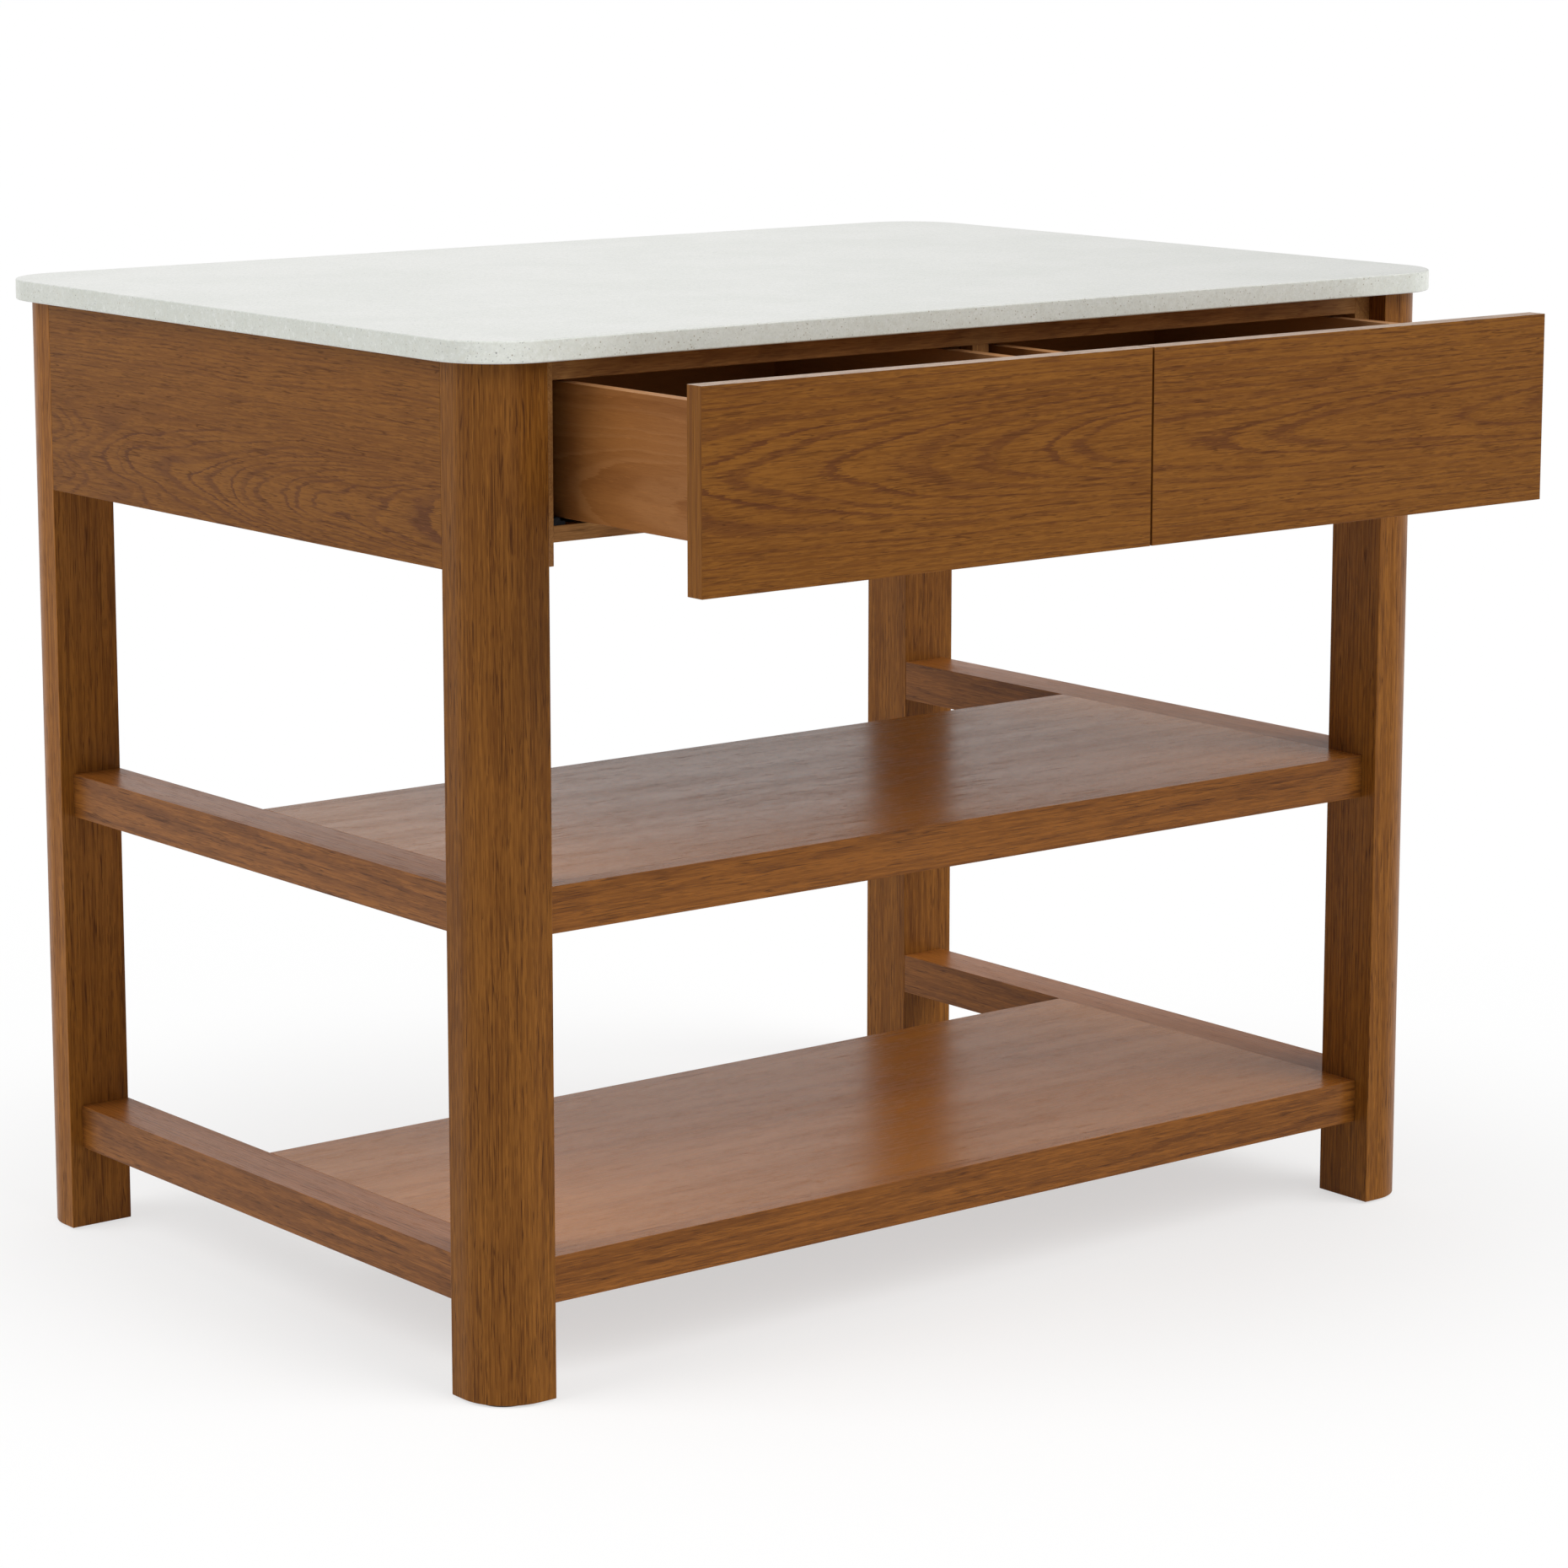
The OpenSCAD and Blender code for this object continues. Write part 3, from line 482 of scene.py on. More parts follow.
def steel_material(name):
    """Zinc-plated steel, a little blotchy, with rolling marks along Y."""
    g, inputs, material = new_material(name)
    place = g.node("ShaderNodeTexCoord").outputs["Object"]
    blotch = g.noise(place, (160.0, 90.0, 160.0), 3.0, 0.6)
    marks = g.noise(place, (2600.0, 60.0, 2600.0), 2.0, 0.5)
    tint = g.mix(g.fit(blotch, 0.3, 0.7), colour(0.500, 0.505, 0.515),
                 colour(0.640, 0.640, 0.635))
    connect(g, inputs, Base_Color=tint, Metallic=1.0,
            Roughness=g.fit(blotch, 0.3, 0.7, 0.26, 0.42),
            Normal=bumped(g, marks, 0.03 * MM, 0.4))
    return material


def felt_material(name):
    """Grey-brown felt: matted fibres, soft at the edges."""
    g, inputs, material = new_material(name)
    place = g.node("ShaderNodeTexCoord").outputs["Object"]
    fibres = g.noise(place, (1500.0, 1500.0, 900.0), 4.0, 0.75)
    tint = g.mix(g.fit(fibres, 0.3, 0.7), colour(0.050, 0.045, 0.040),
                 colour(0.145, 0.135, 0.120))
    connect(g, inputs, Base_Color=tint, Roughness=0.95, Sheen_Weight=0.3,
            Normal=bumped(g, fibres, 0.4 * MM, 0.8))
    return material


# ---------- which board gets which grain ----------

def middle_of(node):
    low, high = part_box(node)
    return (low + high) / 2


# Painted fill light: the legs that stand in shade are made paler.
LEG_PAINTED_FILL = {"leg_front_left": 1.0, "leg_front_right": 1.2,
            "leg_back_left": 1.35, "leg_back_right": 1.2}


def finish_end(board, side, sign):
    """The legs, the apron and the rails of one end."""
    for end, pith_depth in (("front", 0.11), ("back", -0.09)):
        leg = "leg_%s_%s" % (end, side)
        board(leg, LEG_OAK, along="Z", flat="Y", pith=(-0.05 * sign, pith_depth), ring=0.0040,
              taper=0.012, wander=0.010, gain=LEG_PAINTED_FILL[leg], stretch=1.4, narrow=1.08)
    board("end_apron_" + side, OAK, along="Y", flat="X", pith=(-0.048, 0.030 * sign),
          ring=0.0036, taper=0.100, wander=0.020)
    # The rails' top faces take painted top light and sheen.
    for level in LEVELS:
        board("%s_rail_%s" % (level, side), RAIL_OAK, along="Y", flat="X", lifted=True,
              pith=(0.03, 0.10 * sign), ring=0.0038, taper=0.015, wander=0.010,
              stretch=1.2, narrow=1.2)


FRONT_FIGURE = {"left": {"pith": (0.008, 0.060), "taper": -0.068},
                "right": {"pith": (0.002, 0.045), "taper": -0.032}}


def finish_drawer(board, side, sign):
    """One drawer: its front's top face carries a painted highlight, and its box is paler inside,
    partly as less stained wood and partly as painted light in its shade.
    """
    board(side + "_drawer_front", OAK, along="X", flat="Y", ring=0.0050, wander=0.009,
          end_band="X", pale=("Z", 1.0, PAINTED_TOP_HIGHLIGHT), **FRONT_FIGURE[side])
    # The box's pieces take painted top light and sheen on their top edges.
    for piece, inward in (("box_front", 1.0), ("box_back", -1.0)):
        board("%s_drawer_%s" % (side, piece), BOX_WOOD, along="X", flat="Y",
              lifted=True, pith=(0.02, 0.12), ring=0.006, taper=0.04,
              pale=("Y", inward, PALE_AND_LIT_INSIDE))
    for piece, inward in (("outer", -sign), ("inner", sign)):
        board("%s_drawer_side_%s" % (side, piece), BOX_WOOD, along="Y", flat="X",
              lifted=True, pith=(-0.03, 0.06), ring=0.009, taper=0.09, wander=0.02,
              pale=("X", inward, PALE_AND_LIT_INSIDE))
    board(side + "_drawer_bottom", PLY, along="X", flat="Z", pith=(0.05, 0.20),
          ring=0.008, taper=0.06, wander=0.03)


def finish_shelf(board, level):
    """One shelf: a panel between two solid edge pieces."""
    board(level + "_shelf_panel", SHELF_OAK_AND_TOP_LIGHT, along="X", flat="Z", pith=(0.06, -0.16),
          ring=0.0055, taper=0.03, wander=0.02)
    # The edge pieces' top faces take painted top light and sheen.
    for end in ("front", "back"):
        board("%s_shelf_%s_edge" % (level, end), SHELF_EDGE_OAK, along="X", flat="Y",
              lifted=True, pith=(0.02, 0.09), ring=0.0038, taper=0.010, wander=0.008,
              stretch=1.4, narrow=1.25)


def finish_inside(board):
    """The back apron, the case and the wooden pieces that join the frame."""
    board("back_apron", OAK, along="X", flat="Y", pith=(-0.02, -0.085), taper=0.04,
          wander=0.018)
    # The case's pieces take the paler case woods, as painted light in their shade.
    for side in SIDES:
        board("case_side_" + side, CASE_OAK_PAINTED_LIGHT, along="Y", flat="X", pith=(0.02, 0.12))
    for node, along, flat in (("case_divider", "Y", "X"), ("case_back", "X", "Y")):
        board(node, CASE_PANEL_PAINTED_LIGHT, along=along, flat=flat, pith=(0.02, 0.12))
    for node, along in (("case_top_rail", "X"), ("case_bottom_rail", "X"), ("case_stile", "Z")):
        board(node, CASE_OAK_PAINTED_LIGHT, along=along, flat="Y", pith=(0.0, 0.06))
    for node, along in (("shelf_cleats", "Y"), ("corner_blocks", "Z")):
        board(node, CASE_OAK_PAINTED_LIGHT, along=along, flat="X", pith=(0.3, 0.3))
    board("frame_dowels", PLY, along="Y", flat="X", pith=(0.2, 0.2))


def finish_woods():
    """Gives every wooden node a finish of its own, with its grain along the board."""
    done = {}

    def board(node, wood, **figure):
        done[node] = wood_material("wood_" + node, wood, middle_of(node), **figure)

    for side, sign in SIDES.items():
        finish_end(board, side, sign)
        finish_drawer(board, side, sign)
    for level in LEVELS:
        finish_shelf(board, level)
    finish_inside(board)
    return done


PLAIN = {
    "stone": quartz_material("quartz"),
    "black_steel": coated_material("black_coated_steel", (0.009, 0.009, 0.010),
                                   0.38, 0.50, 0.5 * MM, 0.02 * MM, ior=1.3),
    "black_nylon": coated_material("black_nylon", (0.006, 0.006, 0.007),
                                   0.55, 0.68, 0.35 * MM, 0.03 * MM, ior=1.12),
    "bright_steel": steel_material("zinc_steel"),
    "felt": felt_material("felt"),
}


def dress_nodes():
    """Puts the finishes on the CAD nodes."""
    woods = finish_woods()
    for node, piece in NODES.items():
        for slot in piece.material_slots:
            slot.material = woods.get(node) or PLAIN[SLOT_OF[node]]


# ---------- small fittings, modelled over the CAD's plain solids ----------

SAME_POINT = 0.005 * MM  # points as close as this are one
SAME_END = 0.01 * MM  # and points as close as this to a rod's end lie on it


def solids_of(node):
    """The points of each separate solid in a CAD node."""
    mesh = bmesh.new()
    mesh.from_mesh(NODES[node].data)
    bmesh.ops.remove_doubles(mesh, verts=mesh.verts, dist=SAME_POINT)
    left, found = dict.fromkeys(mesh.verts), []
    while left:
        reached = [next(iter(left))]
        del left[reached[0]]
        for vert in reached:
            for edge in vert.link_edges:
                other = edge.other_vert(vert)
                if other in left:
                    del left[other]
                    reached.append(other)
        found.append([vert.co.copy() for vert in reached])
    mesh.free()
    return found


def corners_of(points):
    return (Vector(min(p[i] for p in points) for i in range(3)),
            Vector(max(p[i] for p in points) for i in range(3)))


def rod_of(points):
    """A round solid's thicker end: (its middle, the direction out of it, the rod's length)."""
    low, high = corners_of(points)
    size = high - low
    axis = min(range(3), key=lambda i: abs(size[i - 1] - size[i - 2]))
    widths = {}
    for end in (low[axis], high[axis]):
        near = [p[axis - 1] for p in points if abs(p[axis] - end) < SAME_END]
        widths[end] = round(max(near) - min(near), 5)
    end = max(widths, key=widths.get)
    place, out = (low + high) / 2, Vector()
    place[axis] = end
    out[axis] = 1.0 if end == high[axis] else -1.0
    return place, out, size[axis]


def standing(place, out):
    """The turn that sets a shape drawn upwards from the origin on place, pointing out."""
    return Matrix.Translation(place) @ out.to_track_quat("Z", "Y").to_matrix().to_4x4()


def skin(mesh, turn, rings):
    """Adds a closed surface through rings of equally many points."""
    loops = [[mesh.verts.new(turn @ Vector(point)) for point in ring] for ring in rings]
    count = len(loops[0])
    for lower, upper in zip(loops, loops[1:]):
        for i in range(count):
            j = (i + 1) % count
            mesh.faces.new((lower[i], lower[j], upper[j], upper[i]))
    mesh.faces.new(loops[0][::-1])
    mesh.faces.new(loops[-1])


def even_angles(count):
    return [2 * math.pi * i / count for i in range(count)]


def round_ring(radius, height, angles):
    return [(radius * math.cos(a), radius * math.sin(a), height) for a in angles]


def lathed(mesh, turn, profile, count):
    """Adds a turned shape with count sides, from (radius, height) points."""
    skin(mesh, turn, [round_ring(r, z, even_angles(count)) for r, z in profile])


def cross_outline(reach, half_width):
    """The rim of a cross recess, with a point in the middle of each of its edges."""
    corners = []
    for quarter in range(4):
        turn = Matrix.Rotation(quarter * math.pi / 2, 2)
        corners += [turn @ Vector(point) for point in
                    ((reach, -half_width), (reach, half_width), (half_width, half_width))]
    outline = []
    for here, there in zip(corners, corners[1:] + corners[:1]):
        outline += [here, (here + there) / 2]
    return outline


THREAD_DEPTH = 0.28


def thread(core, start, end, pitch):
    """(radius, height) points of a thread's crests and roots, going down."""
    steps = int((start - end) / (pitch / 2))
    return [(core * (1 - THREAD_DEPTH * (i % 2)), start - i * pitch / 2)
            for i in range(1, steps)]


SCREW_HEAD_T = 2 * MM
SCREW_HEAD_D = 7 * MM
SCREW_D = 4 * MM
SCREW_PITCH = 1.6 * MM
SHELF_SCREW_HEAD_T = 1.6 * MM


def add_screw(mesh, place, out, length, head_t=SCREW_HEAD_T):
    """A pan-head wood screw with a cross recess. place is the middle of the head's top."""
    outline = cross_outline(0.29 * SCREW_HEAD_D, 0.08 * SCREW_HEAD_D)
    angles = [math.atan2(point.y, point.x) for point in outline]
    head, core = SCREW_HEAD_D / 2, SCREW_D / 2
    rings = [[(share * p.x, share * p.y, height * head_t) for p in outline]
             for share, height in ((0.35, 0.35), (1.0, 0.97))]
    for share, height in ((0.74, 0.92), (0.93, 0.64), (1.0, 0.28), (1.0, 0.0)):
        rings.append(round_ring(share * head, height * head_t, angles))
    tip = head_t - length
    threaded = thread(core, 0.0, tip + core, SCREW_PITCH)
    for radius, height in [(0.95 * core, 0.0)] + threaded + [(0.1 * core, tip)]:
        rings.append(round_ring(radius, height, angles))
    skin(mesh, standing(place - head_t * out, out), rings)


def add_shelf_screw(mesh, place, out, length):
    """A shelf's screw, with a flatter head that stands proud under its cleat."""
    head_t = SHELF_SCREW_HEAD_T
    add_screw(mesh, place + head_t * out, out, length + head_t, head_t)


BOLT_HEAD_T = 5.3 * MM
BOLT_WASHER_T = 1.2 * MM
BOLT_WASHER_D = 18 * MM
BOLT_ACROSS = 12.8 * MM
BOLT_D = 8 * MM
BOLT_PITCH = 1.25 * MM
BOLT_CHAMFER = 0.6
BOLT_SIDES = 48


def add_bolt(mesh, place, out, length):
    """A bolt with a chamfered hexagon head on a washer."""
    angles = even_angles(BOLT_SIDES)
    flat, core = BOLT_ACROSS / 2, BOLT_D / 2
    height = BOLT_HEAD_T - BOLT_WASHER_T
    sixth = math.pi / 3
    hexagon = [flat / math.cos(a % sixth - sixth / 2) for a in angles]
    face = 0.94 * flat
    rings = [round_ring(0.9 * face, height, angles), round_ring(face, height, angles)]
    chamfered = [height - BOLT_CHAMFER * (r - face) for r in hexagon]
    for heights in (chamfered, [0.0] * len(hexagon)):
        rings.append([(r * math.cos(a), r * math.sin(a), z)
                      for r, a, z in zip(hexagon, angles, heights)])
    tip = height - length
    shank_end = 0.6 * tip
    washer = [(0.48 * BOLT_WASHER_D, 0.0), (0.50 * BOLT_WASHER_D, -0.25 * MM),
              (0.50 * BOLT_WASHER_D, -BOLT_WASHER_T)]
    shank = [(core, -BOLT_WASHER_T), (core, shank_end)]
    threaded = thread(core, shank_end, tip + 1.0 * MM, BOLT_PITCH)
    for radius, z in washer + shank + threaded + [(0.7 * core, tip)]:
        rings.append(round_ring(radius, z, angles))
    skin(mesh, standing(place - height * out, out), rings)


BUMPER_R = 4 * MM
BUMPER_SIDES = 28
# (share of the radius, share of the height)
BUMPER_DOME = ((1.0, 0.0), (1.0, 0.35), (0.93, 0.72), (0.72, 0.93), (0.35, 1.0))


def add_bumper(mesh, place, out, length):
    """A domed pad."""
    lathed(mesh, standing(place, -out),
           [(r * BUMPER_R, h * length) for r, h in BUMPER_DOME], BUMPER_SIDES)


# (radius, height) in mm, from the sunk nail head out to the worn rim
GLIDE_FACE = ((1.4, -0.55), (2.9, -0.8), (3.0, -1.0), (3.5, -1.0), (3.9, -0.1), (4.6, 0.0),
              (21.9, 0.0), (22.3, -0.08), (22.5, -0.3))
GLIDE_SIDES = 64


def add_glide(mesh, place, out, length):
    """A leg's glide: a disc with a worn rim and a sunk nail head."""
    profile = [(r * MM, h * MM) for r, h in GLIDE_FACE]
    rim, rim_height = profile[-1]
    profile += [(rim, rim_height - 0.5 * length), (rim - 0.1 * MM, -length)]
    lathed(mesh, standing(place, out), profile, GLIDE_SIDES)


# A slide's end, seen from the front: (share of its width, share of its height)
END_CAP_OUTLINE = ((0.0, 0.0), (1.0, 0.0), (1.0, 0.94), (0.95, 1.0), (0.50, 1.0),
                   (0.44, 0.94), (0.42, 0.62), (0.37, 0.55), (0.06, 0.55), (0.0, 0.47))
# (how far behind the front, how far in from the outline), in mm
END_CAP_CHAMFER = ((0.0, 0.7), (0.25, 0.25), (0.8, 0.0))


def add_end_cap(mesh, low, high, wall_side):
    """A slide's moulded end, higher by the case's wall, with a chamfered front."""
    width, height = high.x - low.x, high.z - low.z
    chamfer = [(low.y + back * MM, inset * MM) for back, inset in END_CAP_CHAMFER]
    rings = []
    for y, inset in chamfer + [(high.y, 0.0)]:
        ring = []
        for u, v in END_CAP_OUTLINE:
            u = 0.5 + (u - 0.5) * (1 - 2 * inset / width)
            v = 0.5 + (v - 0.5) * (1 - 2 * inset / height)
            x = low.x + u * width if wall_side > 0 else high.x - u * width
            ring.append((x, y, low.z + v * height))
        rings.append(ring)
    skin(mesh, Matrix.Identity(4), rings)


SHARP_IN_FITTINGS = math.radians(32)


def shown(name, mesh, body, slot, stands_for=None):
    """Makes a finished piece of what is built, and says what it rides on and stands for."""
    bmesh.ops.recalc_face_normals(mesh, faces=mesh.faces)
    for face in mesh.faces:
        face.smooth = True
    for edge in mesh.edges:
        edge.smooth = edge.calc_face_angle(0.0) < SHARP_IN_FITTINGS
    data = bpy.data.meshes.new(name)
    mesh.to_mesh(data)
    mesh.free()
    data.materials.append(PLAIN[slot])
    piece = bpy.data.objects.new(name, data)
    bpy.context.collection.objects.link(piece)
    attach(piece, body)
    if stands_for:
        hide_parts(stands_for)


def add_turned(node, add):
    """Draws one fitting over each round solid of a node."""
    mesh = bmesh.new()
    for points in solids_of(node):
        add(mesh, *rod_of(points))
    shown("fine_" + node, mesh, BODY_OF[node], SLOT_OF[node], node)


def add_end_caps(node):
    """Draws the slides' ends, each with its higher side by the case's wall."""
    mesh = bmesh.new()
    for points in solids_of(node):
        low, high = corners_of(points)
        middle = (low.x + high.x) / 2
        drawer = middle_of("left_drawer_bottom" if middle < 0 else "right_drawer_bottom")
        add_end_cap(mesh, low, high, 1 if middle > drawer.x else -1)
    shown("fine_" + node, mesh, BODY_OF[node], SLOT_OF[node], node)


CAGE_WALL = 1.4 * MM
BALL_D = 1.9 * MM
BALL_STEP = 8 * MM


def add_balls(node):
    """Rows of balls in the two side walls of each cage."""
    mesh = bmesh.new()
    for points in solids_of(node):
        low, high = corners_of(points)
        count = int((high.y - low.y) / BALL_STEP)
        start = (low.y + high.y - (count - 1) * BALL_STEP) / 2
        for x in (low.x + CAGE_WALL / 2, high.x - CAGE_WALL / 2):
            for i in range(count):
                place = Vector((x, start + i * BALL_STEP, (low.z + high.z) / 2))
                bmesh.ops.create_icosphere(mesh, subdivisions=2, radius=BALL_D / 2,
                                           matrix=Matrix.Translation(place))
    shown(node + "_balls", mesh, BODY_OF[node], "bright_steel")


def add_fittings():
    add_turned("case_screws", add_screw)
    add_turned("leg_bolts", add_bolt)
    add_turned("leg_glides", add_glide)
    add_turned("shelf_screws", add_shelf_screw)
    add_end_caps("slide_end_caps")
    for side in SIDES:
        add_turned(side + "_drawer_screws", add_screw)
        add_turned(side + "_drawer_bumpers", add_bumper)
        for carrier in ("case", "drawer"):
            add_balls("%s_slide_%s_cages" % (side, carrier))


# ---------- eased edges ----------

SHARP_IN_NODES = math.radians(40)
SHORTEST_EASED = 3 * MM
FAR_OUT = 9.0  # a Y beyond every node


def edge_marker():
    """Geometry nodes that mark a mesh's long sharp edges for the bevel modifier."""
    tree, g, given = new_group("mark_long_edges", "GeometryNodeTree",
                               {"Geometry": "Geometry", "Low Y": "Float", "High Y": "Float"},
                               {"Geometry": "Geometry"})
    tree.is_modifier = True
    ends = g.node("GeometryNodeInputMeshEdgeVertices").outputs
    length = g.vector("DISTANCE", ends["Position 1"], ends["Position 2"])
    angle = g.node("GeometryNodeInputMeshEdgeAngle").outputs["Unsigned Angle"]
    y = g.split(g.node("GeometryNodeInputPosition").outputs[0])[1]
    sharp = g.math("GREATER_THAN", angle, SHARP_IN_NODES)
    chosen = g.math("MULTIPLY", sharp, g.math("GREATER_THAN", length, SHORTEST_EASED))
    for bound, side in (("Low Y", "GREATER_THAN"), ("High Y", "LESS_THAN")):
        chosen = g.math("MULTIPLY", chosen, g.math(side, y, given[bound]))
    stays = g.math("SUBTRACT", sharp, chosen)
    smooth = g.node("GeometryNodeSetShadeSmooth", {"Geometry": given["Geometry"]})
    soft = g.node("GeometryNodeSetShadeSmooth",
                  {"Geometry": smooth.outputs[0],
                   "Shade Smooth": g.math("SUBTRACT", 1.0, stays)}, domain="EDGE")
    marked = g.node("GeometryNodeStoreNamedAttribute",
                    {"Geometry": soft.outputs[0], "Name": "bevel_weight_edge",
                     "Value": chosen}, data_type="FLOAT", domain="EDGE")
    g.node("NodeGroupOutput", {"Geometry": marked.outputs[0]})
    return tree


MARKER = edge_marker()


def ease(node, width, low_y=-FAR_OUT, high_y=FAR_OUT):
    """Rounds a node's long sharp edges, as a hand would break them, between two Ys."""
    piece = NODES[node]
    weld = piece.modifiers.new("weld", "WELD")
    weld.merge_threshold = SAME_POINT
    flatten = piece.modifiers.new("flatten", "DECIMATE")
    flatten.decimate_type = "DISSOLVE"
    flatten.angle_limit = math.radians(0.5)
    mark = piece.modifiers.new("mark", "NODES")
    mark.node_group = MARKER
    limits = {"Low Y": low_y, "High Y": high_y}
    for item in MARKER.interface.items_tree:
        if item.name in limits:
            mark[item.identifier] = limits[item.name]
    bevel = piece.modifiers.new("bevel", "BEVEL")
    bevel.width = width
    bevel.segments = 3
    bevel.limit_method = "WEIGHT"
    bevel.use_clamp_overlap = True
    normals = piece.modifiers.new("normals", "WEIGHTED_NORMAL")
    normals.weight = 100
    normals.keep_sharp = True


# (start of the nodes' names, width in mm); the first that a name starts with counts
EASED = (
    ("worktop_brackets", 0.3), ("worktop", 1.6), ("leg_", 0.8), ("end_apron_", 0.5),
    ("back_apron", 0.5), ("mid_rail_", 0.5), ("low_rail_", 0.5), ("case_", 0.5),
    ("left_drawer_front", 0.35), ("right_drawer_front", 0.35),
    ("left_drawer_rails", 0.35), ("right_drawer_rails", 0.35),
    ("left_drawer_", 0.6), ("right_drawer_", 0.6), ("shelf_cleats", 0.8),
    ("corner_blocks", 0.8), ("left_slide_", 0.35), ("right_slide_", 0.35),
)
UNEASED = ("screws", "bumpers", "glides", "bolts", "bottom")
SHELF_EDGE_EASE = 0.5 * MM
JOINT_CLEARANCE = 2 * MM  # how far from the panel a shelf edge's rounding stays


def ease_edges():
    """Breaks the sharp edges, but not where a shelf's edge piece meets its panel."""
    for node in NODES:
        for start, width in EASED:
            if node.startswith(start) and not node.endswith(UNEASED):
                ease(node, width * MM)
                break
    for level in LEVELS:
        low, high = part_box(level + "_shelf_panel")
        ease(level + "_shelf_front_edge", SHELF_EDGE_EASE, high_y=low.y - JOINT_CLEARANCE)
        ease(level + "_shelf_back_edge", SHELF_EDGE_EASE, low_y=high.y + JOINT_CLEARANCE)


# ---------- stage, light and camera ----------

HORIZON_LIGHT = 0.90
ZENITH_LIGHT = 0.30
CAMERA_SIDE = (-0.62, -0.785, 0.0)
CAMERA_SIDE_DIP = 0.60
RIGHT_SIDE_DIP = 0.60
RIGHT_SIDE = (0.58, 0.76)  # where the dip starts and is full, as the X of a direction
FLOOR_RADIUS = 120.0
FLOOR_SIDES = 96
GLOW = (0.58, 0.96)  # near the object and around it
GLOW_REACH = (0.40, 1.15)  # how far from the middle these start and end
SOFTBOX_DISTANCE = 4.0
CAMERA_PLACE = (-2.7425, -3.4553, 1.2913)
CAMERA_YAW = math.radians(38.346)
CAMERA_PITCH = math.radians(10.122)
CAMERA_LENS = 110.03
CAMERA_SENSOR = 36.0
CAMERA_SHIFT = -0.05


def rays(g):
    """1 for the rays that see the background as it is, 0 for those that carry light."""
    path = g.node("ShaderNodeLightPath").outputs
    seen = g.math("MAXIMUM", path["Is Camera Ray"], path["Is Glossy Ray"])
    return g.math("MAXIMUM", seen, path["Is Transmission Ray"])


def floor_material():
    """A pale matt ground that glows where it is seen, and is clear from below."""
    g, inputs, material = new_material("pale_floor")
    place = g.node("ShaderNodeTexCoord").outputs["Object"]
    cloud = g.noise(place, (1.5, 1.5, 1.5), 2.0)
    connect(g, inputs, Base_Color=g.mix(cloud, colour(0.915, 0.915, 0.912),
                                        colour(0.925, 0.925, 0.922)),
            Roughness=0.9, IOR=1.2)
    matt = inputs["Base Color"].node
    glow = g.node("ShaderNodeEmission", {"Color": colour(1.0, 1.0, 1.0), "Strength": 1.0})
    path = g.node("ShaderNodeLightPath").outputs["Is Camera Ray"]
    below = g.node("ShaderNodeNewGeometry").outputs["Backfacing"]
    clear = g.node("ShaderNodeBsdfTransparent")
    # The shadow is kept near the object, and the floor clears to white around it
    glowing = g.fit(g.vector("LENGTH", place), *GLOW_REACH, *GLOW)
    lit = g.node("ShaderNodeMixShader", {0: g.math("MULTIPLY", rays(g), glowing),
                                         1: matt.outputs[0], 2: glow.outputs[0]})
    through = g.node("ShaderNodeMixShader", {0: g.math("MULTIPLY", path, below),
                                             1: lit.outputs[0], 2: clear.outputs[0]})
    output = g.tree.get_output_node("ALL")
    g.tree.links.new(through.outputs[0], output.inputs["Surface"])
    return material


def make_floor():
    """A plain pale floor that keeps the object's shadow."""
    mesh = bpy.data.meshes.new("floor")
    rim = round_ring(FLOOR_RADIUS, 0.0, even_angles(FLOOR_SIDES))
    mesh.from_pydata(rim, [], [list(range(FLOOR_SIDES))])
    mesh.materials.append(floor_material())
    floor = bpy.data.objects.new("floor", mesh)
    bpy.context.collection.objects.link(floor)


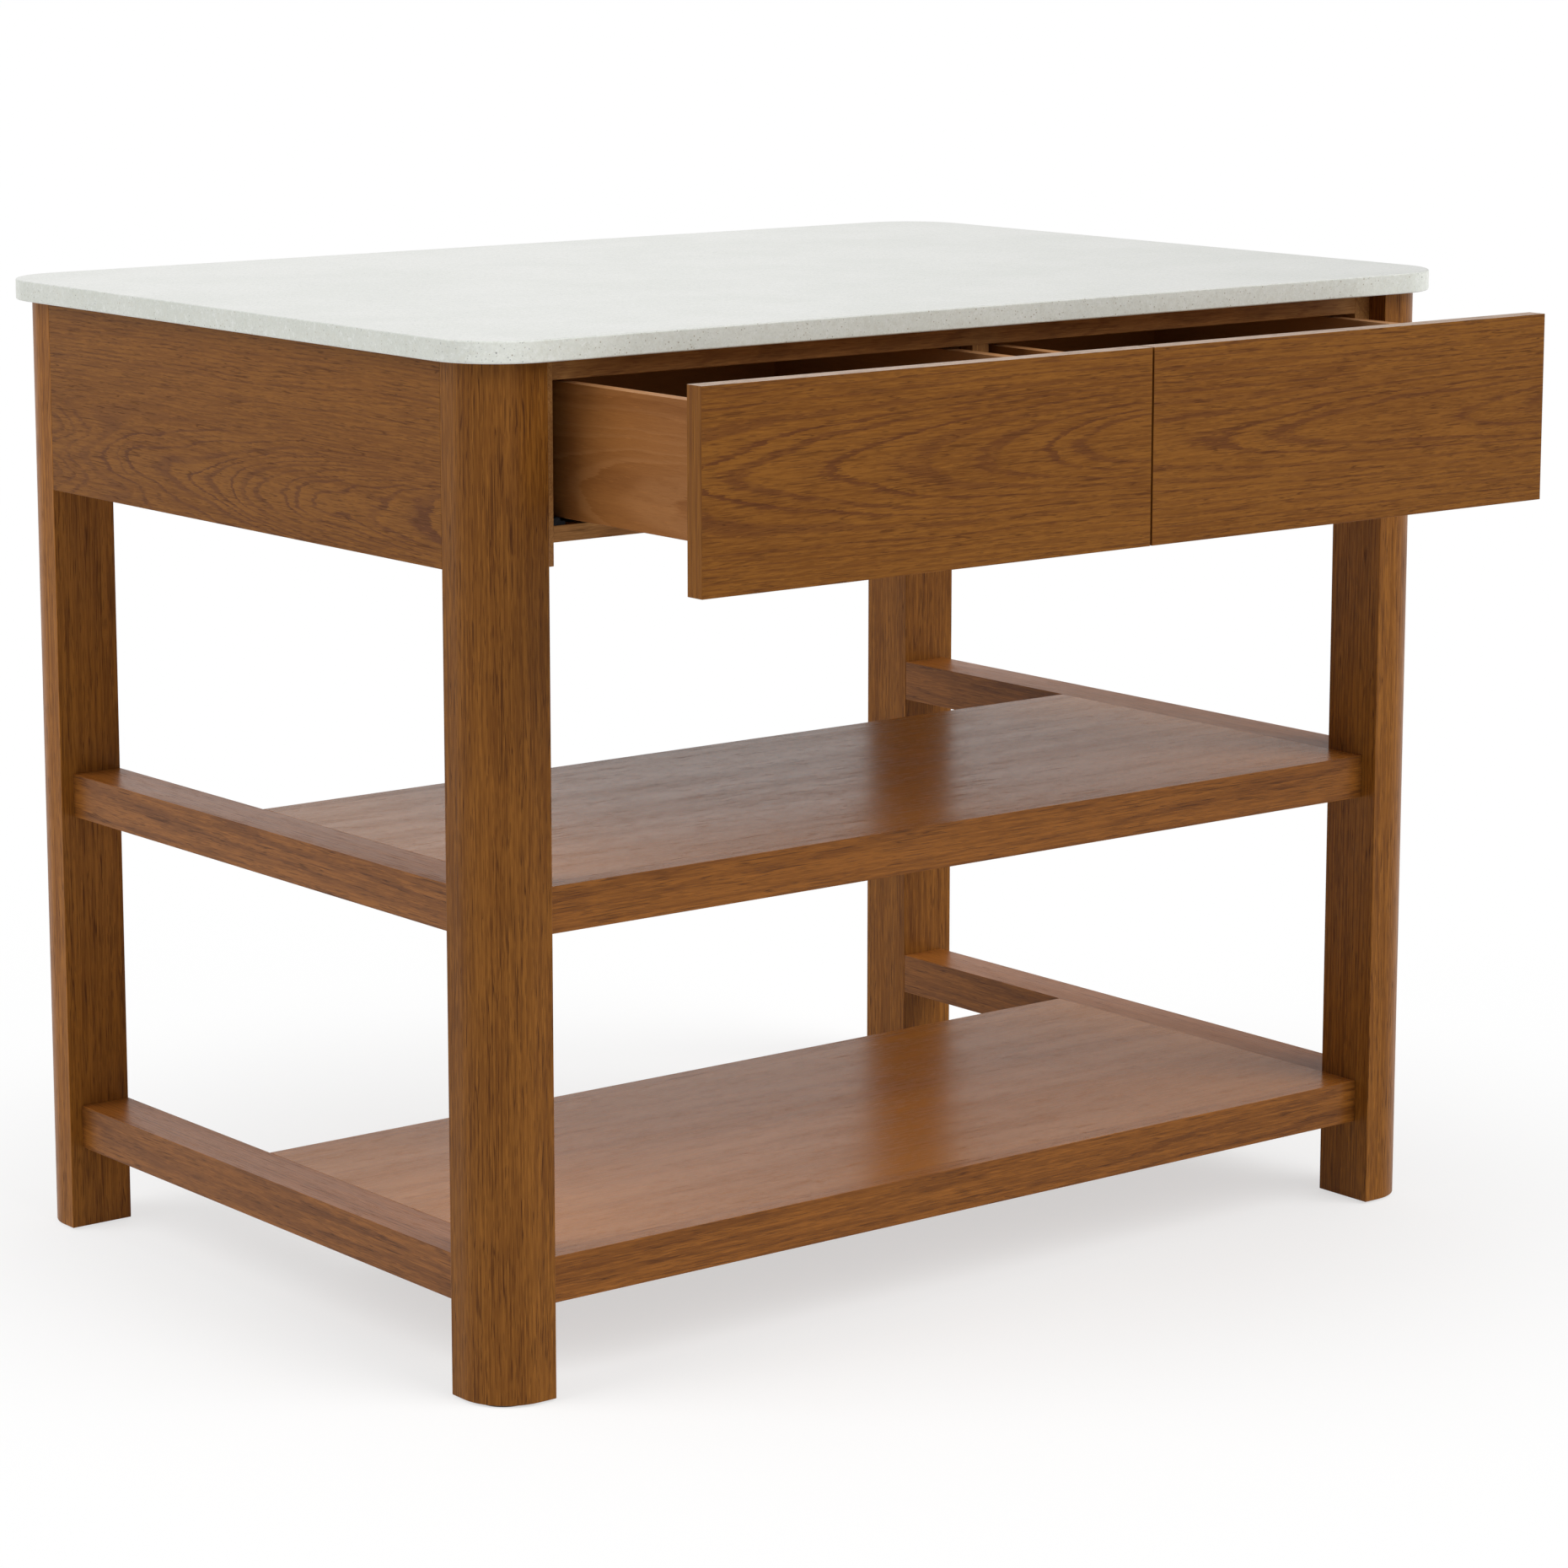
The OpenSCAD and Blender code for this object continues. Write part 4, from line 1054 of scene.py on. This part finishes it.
def make_world():
    """White to the camera. As light it is dimmer overhead and on the camera's side."""
    world = bpy.data.worlds.new("studio")
    bpy.context.scene.world = world
    world.use_nodes = True
    world.node_tree.nodes.clear()
    g = Graph(world.node_tree)
    direction = g.node("ShaderNodeTexCoord").outputs["Generated"]
    height = g.math("MAXIMUM", g.split(direction)[2], 0.0)
    sky = g.fit(height, 0.0, 1.0, HORIZON_LIGHT, ZENITH_LIGHT, smooth=False)
    facing = g.math("MAXIMUM", g.vector("DOT_PRODUCT", direction, CAMERA_SIDE), 0.0)
    sky = g.math("MULTIPLY", sky, g.math("MULTIPLY_ADD", facing, -CAMERA_SIDE_DIP, 1.0))
    # Reflections show the white dimmer towards the right
    glossy = g.node("ShaderNodeLightPath").outputs["Is Glossy Ray"]
    right = g.fit(g.split(direction)[0], *RIGHT_SIDE)
    white = g.math("MULTIPLY_ADD", g.math("MULTIPLY", glossy, right), -RIGHT_SIDE_DIP, 1.0)
    strength = g.mix(rays(g), g.join(sky, sky, sky), g.join(white, white, white))
    back = g.node("ShaderNodeBackground", {"Color": strength, "Strength": 1.0})
    g.node("ShaderNodeOutputWorld", {"Surface": back.outputs[0]})


def far_softbox(name, heading, elevation, spread, level):
    """A large, far softbox. level is what it adds to a white surface that faces it."""
    light = bpy.data.lights.new(name, "SUN")
    light.angle = math.radians(spread)
    light.energy = level * math.pi
    lamp = bpy.data.objects.new(name, light)
    turn, lift = math.radians(heading), math.radians(elevation)
    towards = Vector((math.sin(turn) * math.cos(lift), -math.cos(turn) * math.cos(lift),
                      math.sin(lift)))
    lamp.location = SOFTBOX_DISTANCE * towards
    lamp.rotation_euler = towards.to_track_quat("Z", "Y").to_euler()
    bpy.context.collection.objects.link(lamp)


def make_lights():
    """Headings run from the front, -Y, round towards +X."""
    far_softbox("left_softbox", -108.0, 42.0, 45.0, 0.47)
    far_softbox("right_softbox", 24.0, 41.0, 48.0, 0.60)


def make_camera():
    """The photograph's viewpoint, in front of the left end and above the worktop."""
    data = bpy.data.cameras.new("camera")
    data.sensor_width = CAMERA_SENSOR
    data.lens = CAMERA_LENS
    data.shift_y = CAMERA_SHIFT
    camera = bpy.data.objects.new("camera", data)
    camera.location = CAMERA_PLACE
    forward = Vector((math.sin(CAMERA_YAW) * math.cos(CAMERA_PITCH),
                      math.cos(CAMERA_YAW) * math.cos(CAMERA_PITCH), -math.sin(CAMERA_PITCH)))
    camera.rotation_euler = forward.to_track_quat("-Z", "Y").to_euler()
    bpy.context.collection.objects.link(camera)
    bpy.context.scene.camera = camera


def clear_defaults():
    for name in ("Cube", "Light", "Camera"):
        if name in bpy.data.objects:
            bpy.data.objects.remove(bpy.data.objects[name])


def main():
    clear_defaults()
    make_camera()
    dress_nodes()
    ease_edges()
    add_fittings()
    make_floor()
    make_world()
    make_lights()
    bpy.context.scene.view_settings.view_transform = "Standard"


main()
